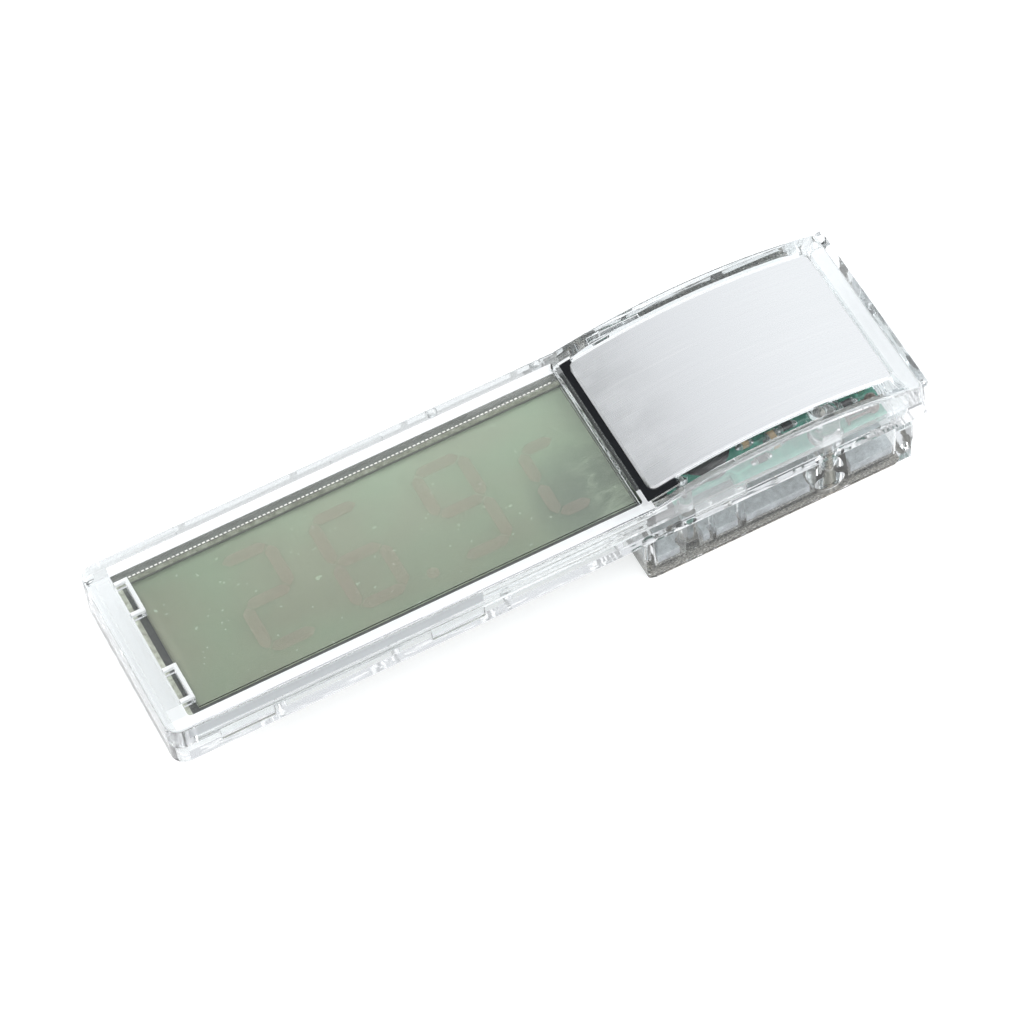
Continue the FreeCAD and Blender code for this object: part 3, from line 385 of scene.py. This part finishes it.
def clear_plastic(name, matt_boxes=()):
    """Moulded clear plastic, matt inside boxes of (low, high, whiteness, colour), which hold frost,
    painted highlight and painted shade.
    """
    made = Material(name)
    made.shader(base=CLEAR_TINT, ior=1.49)
    clear_rough = made.span(made.noise((900, 250, 900), detail=3), 0.35, 0.75, 0.0, 0.05)
    if matt_boxes:
        white, base = 0.0, CLEAR_TINT
        for low, high, whiteness, colour in matt_boxes:
            inside = made.within(low, high)
            base = made.mix(base, colour, inside)
            white = made.maths("MAXIMUM", white, made.times(inside, whiteness))
        made.colour(base)
        clear = made.maths("SUBTRACT", 1.0, white)
        made.link(clear, made.principled.inputs["Transmission Weight"])
        matt = made.times(made.times(white, white), 1.15)
        made.rough(made.maths("MAXIMUM", clear_rough, matt))
    else:
        made.shader(transmission_weight=1.0)
        made.rough(clear_rough)
    made.bump(made.noise((120, 300, 300), detail=2), 0.12, 0.2)
    made.let_lamps_through((0.95, 0.97, 0.965))
    return made.data


def frost_and_painted_light_zones():
    """Boxes of the cover drawn matt, as (low, high, whiteness, colour).

    They are the window's rims and left bar and the tops of the clip loops, which are frosted; a
    grey band along the near wall, which is painted shade; and, hardly matt at all, the near wall of
    the arched roof, whitened as a painted highlight.
    """
    cover_low, cover_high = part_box("top_cover")
    glass_low, glass_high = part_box("display_front_glass")
    corners = [vertex.co for vertex in nodes["top_cover"].data.vertices]
    bezel = max(corner.z for corner in corners if corner.x < glass_low.x)
    skin = 0.03 * MM
    wall, wall_skin = cover_high.y, 0.1 * MM
    rim_inset, rim_width = 0.15 * MM, 1.5 * MM
    rim_left, rim_right = glass_low.x - 2 * MM, glass_high.x - 0.8 * MM
    loop_reach = 9 * MM
    loops = (
        (glass_low.x - 0.2 * MM, -loop_reach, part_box("front_polariser")[1].z + 0.8 * MM),
        (glass_low.x + 1.5 * MM, loop_reach, cover_high.z),
    )
    near_rim = (
        (rim_left, -wall + rim_inset, bezel - skin),
        (rim_right, glass_low.y + rim_width, bezel + skin),
    )
    far_rim = (
        (rim_left, glass_high.y - rim_width, bezel - skin),
        (rim_right, wall - rim_inset, bezel + skin),
    )
    left_bar = (
        (cover_low.x + 0.4 * MM, -wall + rim_width, bezel - skin),
        (glass_low.x - 0.3 * MM, wall - rim_width, bezel + skin),
    )
    # painted shade: a grey band along the near wall
    near_wall_painted_shade = (
        (cover_low.x + 2 * MM, -wall - wall_skin, bezel - 1.9 * MM),
        (glass_low.x + 32.5 * MM, -wall + wall_skin, bezel - 0.35 * MM),
    )
    # painted highlight: a faint white haze over the arched roof's near wall
    roof_wall_painted_highlight = (
        (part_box("circuit_board")[0].x, -wall - wall_skin, cover_low.z - wall_skin),
        (cover_high.x - 1 * MM, -wall + wall_skin, cover_high.z),
    )
    return (
        (*loops, 0.7, CLEAR_TINT),
        (*near_rim, 0.55, CLEAR_TINT),
        (*far_rim, 0.2, PALE_FROST),
        (*left_bar, 0.06, PALE_FROST),
        (*near_wall_painted_shade, 0.55, PAINTED_SHADE_GREY),
        (*roof_wall_painted_highlight, 0.22, CLEAR_TINT),
    )


def display_glass():
    made = Material("display_glass")
    made.shader(base=(0.97, 0.99, 0.97), transmission_weight=1.0, ior=1.52)
    made.rough(made.span(made.noise((90, 400, 90), detail=3), 0.4, 0.8, 0.0, 0.03))
    made.let_lamps_through((0.96, 0.98, 0.96))
    return made.data


def front_film():
    made = Material("front_film")
    made.shader(base=(0.73, 0.745, 0.715), transmission_weight=1.0, ior=1.48)
    made.rough(made.span(made.noise(2500, detail=2), 0.4, 0.8, 0.02, 0.12))
    made.let_lamps_through((0.78, 0.80, 0.76))
    return made.data


def painted_shade_patch(made, along, across, middle_x, middle_y):
    """Strength of the painted shade: greatest at its middle, and 0 outside an ellipse round it."""
    half_length, half_width = 6.8 * MM, 7.5 * MM
    aside_x = made.times(made.maths("SUBTRACT", along, middle_x), 1 / half_length)
    aside_y = made.times(made.maths("SUBTRACT", across, middle_y), 1 / half_width)
    aside = made.maths("ADD", made.times(aside_x, aside_x), made.times(aside_y, aside_y))
    return made.span(aside, 0.0, 1.0, 0.7, 0.0)


def reflector_film():
    """Cloudy grey-green film behind the liquid crystal, brighter and bluish-white towards its
    far right: a painted reflection.

    Its right end has a patch of painted shade and milky streaks, and bright specks lie all over it.
    """
    made = Material("reflector_film")
    low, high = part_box("rear_polariser")
    along, across = made.axis("X"), made.axis("Y")
    green, pink = (0.405, 0.450, 0.375), (0.430, 0.400, 0.350)
    tint = made.ramp(made.noise((55, 85, 60), detail=2), [(0.38, green), (0.62, pink)])
    # painted reflection: brighter and bluish-white towards the far right end
    painted_light_rise = made.span(along, low.x, low.x + 0.6 * (high.x - low.x), 0.0, 0.48)
    painted_reflection = made.times(painted_light_rise, made.span(across, low.y, high.y, 0.1, 1.0))
    glow = made.span(made.noise((40, 70, 40), detail=1), 0.3, 0.7, 0.97, 1.13)
    # bright: the random tint lifted by the painted reflection
    bright = made.scaled(tint, made.times(made.maths("ADD", 0.92, painted_reflection), glow))
    with_painted_reflection = made.mix(bright, (0.85, 0.91, 0.95), made.times(painted_reflection, 0.6))
    # painted shade: a darker patch near the right end's near side
    painted_shade = painted_shade_patch(made, along, across, high.x - 3.8 * MM, -5.0 * MM)
    film = made.mix(with_painted_reflection, (0.25, 0.27, 0.285), painted_shade)
    streak_noise = made.noise((190, 520, 190), detail=5, roughness=0.65, distortion=1.6)
    right_end = made.span(along, high.x - 4.6 * MM, high.x - 2.8 * MM, 0.0, 1.0)
    milk = made.times(made.span(streak_noise, 0.42, 0.60, 0.0, 0.65), right_end)
    streaked = made.mix(film, (0.62, 0.66, 0.60), milk)
    specks = made.span(made.noise(1500, detail=1), 0.735, 0.755, 0.0, 0.8)
    made.colour(made.mix(streaked, (0.85, 0.88, 0.84), specks))
    made.rough(made.span(made.noise(6000, detail=2), 0.3, 0.7, 0.35, 0.6))
    return made.data


def liquid_crystal():
    made = Material("liquid_crystal")
    stops = [(0.3, (0.62, 0.35, 0.38)), (0.7, (0.70, 0.46, 0.46))]
    made.colour(made.ramp(made.noise(150, detail=3), stops))
    made.shader(roughness=0.5, alpha=0.105)
    return made.data


def frosted_glue():
    """Rough translucent glue at the cut edge of the glass, with fine chips."""
    made = Material("frosted_glue")
    chips = made.noise(1500, detail=6, roughness=0.75)
    stops = [(0.35, (0.19, 0.18, 0.155)), (0.5, (0.36, 0.355, 0.31)), (0.65, (0.58, 0.58, 0.53))]
    made.colour(made.ramp(chips, stops))
    made.rough(made.span(chips, 0.3, 0.7, 0.3, 0.7))
    made.bump(chips, 0.6, 0.05)
    return made.data


def plain(name, base, roughness, **values):
    """Moulded or printed surface: fine grain in its colour, roughness and height."""
    made = Material(name)
    made.shader(**values)
    spots = made.noise(1500)
    dark = tuple(channel * 0.82 for channel in base)
    light = tuple(min(1.0, channel * 1.12) for channel in base)
    made.colour(made.ramp(spots, [(0.3, dark), (0.7, light)]))
    made.rough(made.span(spots, 0.3, 0.7, roughness * 0.8, min(1.0, roughness * 1.2)))
    made.bump(spots, 0.3, 0.02)
    return made.data


def printed_lines():
    """Black lines round the display, greyer along its far edge."""
    made = Material("black_print")
    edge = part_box("display_border")[1].y
    spots = made.noise(1500)
    black = made.ramp(spots, [(0.3, (0.028, 0.028, 0.029)), (0.7, (0.040, 0.040, 0.041))])
    far = made.span(made.axis("Y"), edge - 3 * MM, edge - 2 * MM, 0.0, 0.75)
    made.colour(made.mix(black, (0.13, 0.133, 0.126), far))
    made.rough(made.span(spots, 0.3, 0.7, 0.4, 0.6))
    made.bump(spots, 0.3, 0.02)
    return made.data


def striped_rubber():
    """Elastomer connector: thin conducting layers between insulating ones, across its length."""
    made = Material("striped_rubber")
    wave = made.node("ShaderNodeTexWave", wave_type="BANDS", bands_direction="Y")
    wave.inputs["Scale"].default_value = 1.0
    wave.inputs["Distortion"].default_value = 0.0
    made.link(made.place((800, 800, 800)), wave.inputs["Vector"])
    stops = [(0.45, (0.012, 0.012, 0.013)), (0.55, (0.42, 0.43, 0.42))]
    made.colour(made.ramp(wave.outputs["Fac"], stops))
    made.rough(made.span(made.noise(1500), 0.3, 0.7, 0.5, 0.75))
    return made.data


def brushed_aluminium():
    """Sheet brushed along its length, with longer scratches, and grey blotches of painted
    reflection at its left end.
    """
    made = Material("brushed_aluminium")
    made.shader(metallic=1.0)
    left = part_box("face_plate")[0].x
    lines = made.noise((70, 11000, 70), detail=6, roughness=0.7)
    fine = made.ramp(lines, [(0.3, (0.905, 0.915, 0.92)), (0.7, (0.955, 0.96, 0.965))])
    scratch = made.span(made.noise((45, 2600, 45), detail=2), 0.66, 0.74, 0.0, 0.8)
    scratched = made.mix(fine, (0.99, 0.99, 0.99), scratch)
    # painted reflection: grey blotches darkening the plate's left end
    painted_dark_reflection = made.span(made.noise((210, 330, 210), detail=2), 0.38, 0.60, 0.0, 0.36)
    left_end = made.span(made.axis("X"), left + 1 * MM, left + 8 * MM, 1.0, 0.0)
    made.colour(made.mix(scratched, (0.62, 0.635, 0.64), made.times(painted_dark_reflection, left_end)))
    made.rough(made.span(lines, 0.3, 0.7, 0.24, 0.31))
    made.bump(lines, 0.05, 0.006)
    return made.data


def polished_edge():
    made = Material("polished_edge")
    made.shader(metallic=1.0)
    marks = made.noise(2500, detail=3)
    made.colour(made.ramp(marks, [(0.3, (0.93, 0.93, 0.94)), (0.7, (0.99, 0.99, 0.99))]))
    made.rough(made.span(marks, 0.3, 0.7, 0.30, 0.45))
    return made.data


def grainy_foam():
    """Dark grey adhesive foam with brownish grains, and pale bluish specks that are painted glints.
    """
    made = Material("grainy_foam")
    grain = made.noise(3200, detail=4, roughness=0.8)
    stops = [
        (0.355, (0.035, 0.034, 0.032)),
        (0.465, (0.17, 0.165, 0.158)),
        (0.555, (0.38, 0.345, 0.29)),
        # painted glints: the pale bluish specks
        (0.635, (0.78, 0.79, 0.82)),
    ]
    made.colour(made.ramp(grain, stops))
    made.rough(made.span(grain, 0.3, 0.7, 0.95, 0.6))
    made.bump(grain, 0.7, 0.06)
    return made.data


def galvanised_sheet():
    """Zinc-coated steel with faint crystals."""
    made = Material("galvanised_sheet")
    made.shader(metallic=0.35)
    crystals = made.node("ShaderNodeTexVoronoi")
    crystals.inputs["Scale"].default_value = 1.0
    made.link(made.place((520, 520, 520)), crystals.inputs["Vector"])
    grain = made.noise(1800, detail=5, roughness=0.7)
    mixed = made.maths("ADD", made.times(crystals.outputs["Distance"], 0.35), grain)
    stops = [(0.4, (0.27, 0.28, 0.30)), (0.65, (0.45, 0.47, 0.50)), (0.85, (0.62, 0.64, 0.67))]
    made.colour(made.ramp(mixed, stops))
    made.rough(made.span(grain, 0.3, 0.7, 0.35, 0.6))
    made.bump(grain, 0.3, 0.03)
    return made.data


def metal(name, base, roughness):
    """Bare metal, unevenly tarnished."""
    made = Material(name)
    made.shader(metallic=1.0)
    tarnish = made.noise(1200, detail=5)
    dark = tuple(channel * 0.75 for channel in base)
    made.colour(made.ramp(tarnish, [(0.3, dark), (0.65, base)]))
    made.rough(made.span(tarnish, 0.3, 0.7, roughness * 0.7, roughness * 1.3))
    made.bump(tarnish, 0.15, 0.02)
    return made.data


def circuit_green(name, base, dark):
    """Solder mask with glass weave showing faintly through it."""
    made = Material(name)
    made.shader(coat_weight=0.5, coat_roughness=0.15)
    weave = made.noise((1400, 300, 900), detail=3)
    made.colour(made.ramp(weave, [(0.35, dark), (0.65, base)]))
    made.rough(made.span(weave, 0.3, 0.7, 0.3, 0.45))
    made.bump(weave, 0.2, 0.02)
    return made.data


def paint(material, *names):
    for name in names:
        slots = nodes[name].data.materials
        slots.clear()
        slots.append(material)


def paint_frame():
    """Materials of the CAD nodes that are shown as they are."""
    nickel = metal("nickel", (0.80, 0.78, 0.74), 0.2)
    paint(clear_plastic("clear_cover", frost_and_painted_light_zones()), "top_cover")
    paint(clear_plastic("clear_plastic"), "lower_tray", "base_box", "battery_drawer")
    paint(display_glass(), "display_front_glass", "display_rear_glass")
    paint(front_film(), "front_polariser")
    paint(reflector_film(), "rear_polariser")
    paint(liquid_crystal(), "display_segments")
    paint(printed_lines(), "display_border")
    paint(frosted_glue(), "display_seal")
    paint(plain("black_tape", (0.006, 0.007, 0.009), 0.35, specular_ior_level=0.2), "light_mask")
    paint(plain("black_plastic", (0.02, 0.02, 0.021), 0.45), "connector_holder")
    paint(striped_rubber(), "zebra_strip")
    paint(plain("white_tape", (0.85, 0.85, 0.83), 0.8), "plate_tape")
    paint(grainy_foam(), "adhesive_pad")
    paint(galvanised_sheet(), "weight_plate")
    paint(metal("cell_steel", (0.78, 0.79, 0.80), 0.25), "button_cell")
    paint(nickel, "negative_contact", "positive_contact", "crystal_can")
    paint(circuit_green("circuit_green", (0.075, 0.35, 0.26), (0.04, 0.24, 0.175)), "circuit_board")
    paint(plain("black_resin", (0.02, 0.02, 0.02), 0.25), "chip_cover")
    paint(plain("sensor_bead", (0.08, 0.05, 0.03), 0.3), "temperature_sensor")


# ---- pieces with more detail than the CAD ----
def piece(name, bm, materials, slot, *replaced):
    """Turn the bmesh into a piece that rides on the case, smooth but for its sharper edges."""
    bmesh.ops.recalc_face_normals(bm, faces=bm.faces)
    sharp = math.radians(SHARP_ANGLE)
    for face in bm.faces:
        face.smooth = True
    for edge in bm.edges:
        edge.smooth = len(edge.link_faces) == 2 and edge.calc_face_angle() < sharp
    mesh = bpy.data.meshes.new(name)
    bm.to_mesh(mesh)
    bm.free()
    for material in materials:
        mesh.materials.append(material)
    made = add_to_scene(name, mesh)
    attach(made, "case")
    if replaced:
        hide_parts(*replaced)


def loft(bm, rings):
    """Skin between rings of equally many points, capped by the first and last rings."""
    rows = [[bm.verts.new(point) for point in ring] for ring in rings]
    count = len(rings[0])
    for lower, upper in zip(rows, rows[1:]):
        for index in range(count):
            after = (index + 1) % count
            bm.faces.new((lower[index], lower[after], upper[after], upper[index]))
    bm.faces.new(rows[0][::-1])
    bm.faces.new(rows[-1])


def circle(count):
    """Evenly spaced angles round a full turn."""
    return [2 * math.pi * index / count for index in range(count)]


def rounded_block(bm, low, high, radius, material=0):
    """Box with softened edges."""
    middle = (Vector(low) + Vector(high)) / 2
    size = Vector(high) - Vector(low)
    place = Matrix.Translation(middle) @ Matrix.Diagonal((*size, 1.0))
    made = bmesh.ops.create_cube(bm, size=1.0, matrix=place)
    edges = list({edge for vertex in made["verts"] for edge in vertex.link_edges})
    soft = bmesh.ops.bevel(bm, geom=edges, offset=radius, segments=2, profile=0.5, affect="EDGES")
    for face in {face for vertex in soft["verts"] for face in vertex.link_faces}:
        face.material_index = material


def dome(bm, x, y, z, radius, height):
    """Low dome standing on the level z."""
    rings = []
    for step in range(DOME_STEPS + 1):
        turn = step / DOME_STEPS * math.pi / 2 * DOME_CLOSING
        reach = radius * math.cos(turn)
        level = z + height * math.sin(turn)
        rings.append([
            (x + reach * math.cos(a), y + reach * math.sin(a), level)
            for a in circle(DOME_SIDES)
        ])
    loft(bm, rings)


def arch_drop(x):
    """How far the arch lies under its top at x, in metres."""
    across = x - ARCH_MIDDLE_X * MM
    radius = ARCH_RADIUS * MM
    return radius - math.sqrt(radius**2 - across**2)


def plate_section(x, inset, side, top):
    """Ring of points round the plate's section at x, which lies inset from the nearer end.

    The plate reaches side from its middle line, and its highest point is at top.
    """
    corner, chamfer = PLATE_CORNER * MM, PLATE_CHAMFER * MM
    into_corner = max(0.0, corner - inset)
    half = side - corner + math.sqrt(max(0.0, corner**2 - into_corner**2))
    surface = top - arch_drop(x)
    under = surface - PLATE_THICKNESS * MM
    face = surface - max(0.0, chamfer - inset)
    shoulder = surface - chamfer
    ring = [Vector((x, -half, under)), Vector((x, -half, shoulder))]
    for index in range(PLATE_COLUMNS + 1):
        y = (half - chamfer) * (2 * index / PLATE_COLUMNS - 1)
        ring.append(Vector((x, y, face)))
    return ring + [Vector((x, half, shoulder)), Vector((x, half, under))]


def make_face_plate():
    """Bent plate with a bright chamfer all round."""
    low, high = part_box("face_plate")
    length = high.x - low.x
    corner, chamfer = PLATE_CORNER * MM, PLATE_CHAMFER * MM
    left_end = [0.0, chamfer] + [corner * share for share in (0.3, 0.45, 0.6, 0.75, 0.9, 1.0)]
    row = (length - 2 * corner) / PLATE_ROWS
    middle = [corner + row * index for index in range(1, PLATE_ROWS)]
    right_end = [length - inset for inset in reversed(left_end)]
    bm = bmesh.new()
    loft(bm, [
        plate_section(low.x + at, min(at, length - at), high.y, high.z)
        for at in left_end + middle + right_end
    ])
    bm.normal_update()
    for face in bm.faces:
        face.material_index = int(abs(face.normal.z) < 0.9)
    materials = (brushed_aluminium(), polished_edge())
    piece("plate_with_bright_edge", bm, materials, "brushed_aluminium", "face_plate")


def screw_head_rings():
    """Rings from the bottom of the cross recess, round the head's edge and up to the shank."""
    head, bend = SCREW_HEAD_RADIUS * MM, SCREW_HEAD_ROUND * MM
    depth, top = RECESS_DEPTH * MM, SCREW_HEAD_HEIGHT * MM

    def cross(angle):
        return (RECESS_MOUTH + RECESS_ARM * math.cos(2 * angle) ** 8) * MM

    def level(radius):
        return lambda angle: radius

    rings = [(depth, level(RECESS_FLOOR * MM)), (depth, level(RECESS_CORE * MM))]
    rings += [(0.0, cross), (0.0, level(head - bend))]
    for step in range(1, 5):
        turn = step / 4 * math.pi / 2
        rings.append((bend * (1 - math.cos(turn)), level(head - bend * (1 - math.sin(turn)))))
    return rings + [(top, level(head)), (top, level(SCREW_ROOT * MM))]


def screw_thread_rings(height):
    """Rings of the threaded shank, from the head up to the tip."""
    start = SCREW_HEAD_HEIGHT * MM
    root, pitch = SCREW_ROOT * MM, THREAD_PITCH * MM
    depth = SCREW_RADIUS * MM - root
    steps = int((height - start) / pitch * THREAD_STEPS)

    def thread(z):
        taper = min(1.0, (height - z) / (SCREW_TIP * MM))

        def reach(angle):
            phase = (z / pitch - angle / (2 * math.pi)) % 1.0
            return (root + depth * max(0.0, 1 - abs(phase - 0.5) * 4)) * taper

        return reach

    levels = [start + (height - start) * step / steps for step in range(1, steps)]
    return [(z, thread(z)) for z in levels]


def make_screws():
    """Both case screws, with cut threads and recessed heads."""
    low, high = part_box("base_screws")
    head = SCREW_HEAD_RADIUS * MM
    profiles = screw_head_rings() + screw_thread_rings(high.z - low.z)
    bm = bmesh.new()
    for x, y in ((high.x - head, low.y + head), (low.x + head, high.y - head)):
        rings = []
        for z, reach in profiles:
            rings.append([
                (x + reach(a) * math.cos(a), y + reach(a) * math.sin(a), low.z + z)
                for a in circle(SCREW_SIDES)
            ])
        loft(bm, rings)
    steel = metal("screw_steel", (0.46, 0.42, 0.36), 0.35)
    piece("threaded_screws", bm, (steel,), "screw_steel", "base_screws")


def chip(bm, x, y, z, size):
    """Surface-mount part: a body between two tinned end caps."""
    length, width, height = (value * MM for value in size)
    cap, inset = CHIP_CAP * MM, CHIP_INSET * MM
    body_low = (x - length / 2 + cap, y - width / 2 + inset, z)
    body_high = (x + length / 2 - cap, y + width / 2 - inset, z + height - inset)
    rounded_block(bm, body_low, body_high, CHIP_BODY_ROUND * MM)
    for side in (-1, 1):
        left, right = sorted((x + side * (length / 2 - cap), x + side * length / 2))
        cap_low, cap_high = (left, y - width / 2, z), (right, y + width / 2, z + height)
        rounded_block(bm, cap_low, cap_high, CHIP_CAP_ROUND * MM, 1)


def board_top():
    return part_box("circuit_board")[1].z


def make_chips():
    """Resistors and capacitors with tinned ends."""
    tin = metal("tinned_ends", (0.82, 0.82, 0.83), 0.35)
    black = plain("resistor_black", (0.03, 0.03, 0.032), 0.4)
    tan = plain("capacitor_tan", (0.55, 0.40, 0.24), 0.45)
    kinds = (
        ("resistors", black, "resistor_black", RESISTOR_PLACES, RESISTOR_SIZE),
        ("capacitors", tan, "capacitor_tan", CAPACITOR_PLACES, CAPACITOR_SIZE),
    )
    for kind, material, slot, places, size in kinds:
        bm = bmesh.new()
        for x, y in places:
            chip(bm, x * MM, y * MM, board_top(), size)
        piece(kind + "_with_ends", bm, (material, tin), slot, "chip_" + kind)


def make_solder():
    """Solder fillets at the chip parts' ends and plated through holes."""
    kinds = (
        (RESISTOR_PLACES, RESISTOR_FILLET_REACH),
        (CAPACITOR_PLACES, CAPACITOR_FILLET_REACH),
    )
    z = board_top()
    bm = bmesh.new()
    for places, reach in kinds:
        for x, y in places:
            for side in (-1, 1):
                fillet_x = (x + side * reach) * MM
                dome(bm, fillet_x, y * MM, z, FILLET_RADIUS * MM, FILLET_HEIGHT * MM)
    for x, y in VIA_PLACES:
        dome(bm, x * MM, y * MM, z, VIA_RADIUS * MM, VIA_HEIGHT * MM)
    piece("solder_joints", bm, (metal("solder", (0.78, 0.79, 0.80), 0.25),), "nickel")


def make_tracks():
    """Raised tracks under the board's solder mask."""
    z = board_top()
    half, height = TRACK_HALF_WIDTH * MM, TRACK_HEIGHT * MM
    bm = bmesh.new()
    for track in TRACKS:
        for (x0, y0), (x1, y1) in zip(track, track[1:]):
            start, end = Vector((x0, y0, 0)) * MM, Vector((x1, y1, 0)) * MM
            along = (end - start).normalized()
            side = Vector((-along.y, along.x, 0)) * half
            corners = (start - side, end - side, end + side, start + side)
            levels = (z, z + height)
            loft(bm, [[corner + Vector((0, 0, level)) for corner in corners] for level in levels])
        for x, y in track[1:-1]:
            dome(bm, x * MM, y * MM, z, half, height)
    green = circuit_green("track_green", (0.14, 0.50, 0.38), (0.09, 0.40, 0.30))
    piece("board_tracks", bm, (green,), "board_green")


def make_ticks():
    """Row of small white dashes on the glass along the display's far edge: painted glints."""
    low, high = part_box("display_front_glass")
    half = TICK_HALF_WIDTH * MM
    y = high.y - TICKS_FROM_FAR_EDGE * MM
    start = low.x + TICKS_FROM_LEFT * MM
    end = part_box("display_rear_glass")[1].x - TICKS_FROM_RIGHT * MM
    bm = bmesh.new()
    for index in range(int((end - start) / (TICK_PITCH * MM))):
        x = start + index * TICK_PITCH * MM
        tick_low = (x, y - half, high.z - TICK_BELOW * MM)
        tick_high = (x + TICK_LENGTH * MM, y + half, high.z + TICK_ABOVE * MM)
        rounded_block(bm, tick_low, tick_high, TICK_ROUND * MM)
    # painted glints: pale marks standing for the glints
    glint_paint = plain("painted_glints", (0.84, 0.84, 0.80), 0.4)
    piece("edge_painted_glints", bm, (glint_paint,), "white_tape")


# ---- modifiers on the CAD nodes ----
def make_clear_edges():
    """Weld the clear pieces' vertices, soften some edges, and draw faces in by a hair.

    Drawn in, no face of one clear piece coincides with a face of another.
    """
    for name in CLEAR_NODES:
        node = nodes[name]
        weld = node.modifiers.new("weld", "WELD")
        weld.merge_threshold = WELD_REACH * MM
        if name in BEVELLED_NODES:
            bevel = node.modifiers.new("bevel", "BEVEL")
            bevel.width = EDGE_SOFTNESS * MM
            bevel.segments = 2
            bevel.limit_method = "ANGLE"
            bevel.angle_limit = math.radians(EDGE_ANGLE)
            bevel.use_clamp_overlap = True
            bevel.harden_normals = True
        shrink = node.modifiers.new("shrink", "DISPLACE")
        shrink.strength = -CLEAR_SHRINK * MM
        shrink.mid_level = 0.0


def stick_pad():
    """The adhesive wets the base's underside: the pad reaches a hair into it."""
    lift = nodes["adhesive_pad"].modifiers.new("lift", "DISPLACE")
    lift.direction = "Z"
    lift.strength = PAD_LIFT * MM
    lift.mid_level = 0.0


def set_render():
    """Enough bounces for light to cross several clear walls."""
    scene = bpy.context.scene
    scene.view_settings.view_transform = "Standard"
    scene.cycles.max_bounces = MOST_BOUNCES
    scene.cycles.glossy_bounces = CLEAR_BOUNCES
    scene.cycles.transmission_bounces = CLEAR_BOUNCES
    scene.cycles.transparent_max_bounces = CLEAR_BOUNCES


def main():
    set_render()
    make_camera()
    make_world()
    soft_box("key", azimuth=-75, elevation=55, distance=0.9, size=(0.7, 0.5), power=4)
    soft_box("top", azimuth=65, elevation=48, distance=1.0, size=(0.9, 0.9), power=4.5)
    make_floor()
    paint_frame()
    make_clear_edges()
    stick_pad()
    make_face_plate()
    make_screws()
    make_chips()
    make_solder()
    make_tracks()
    make_ticks()


main()
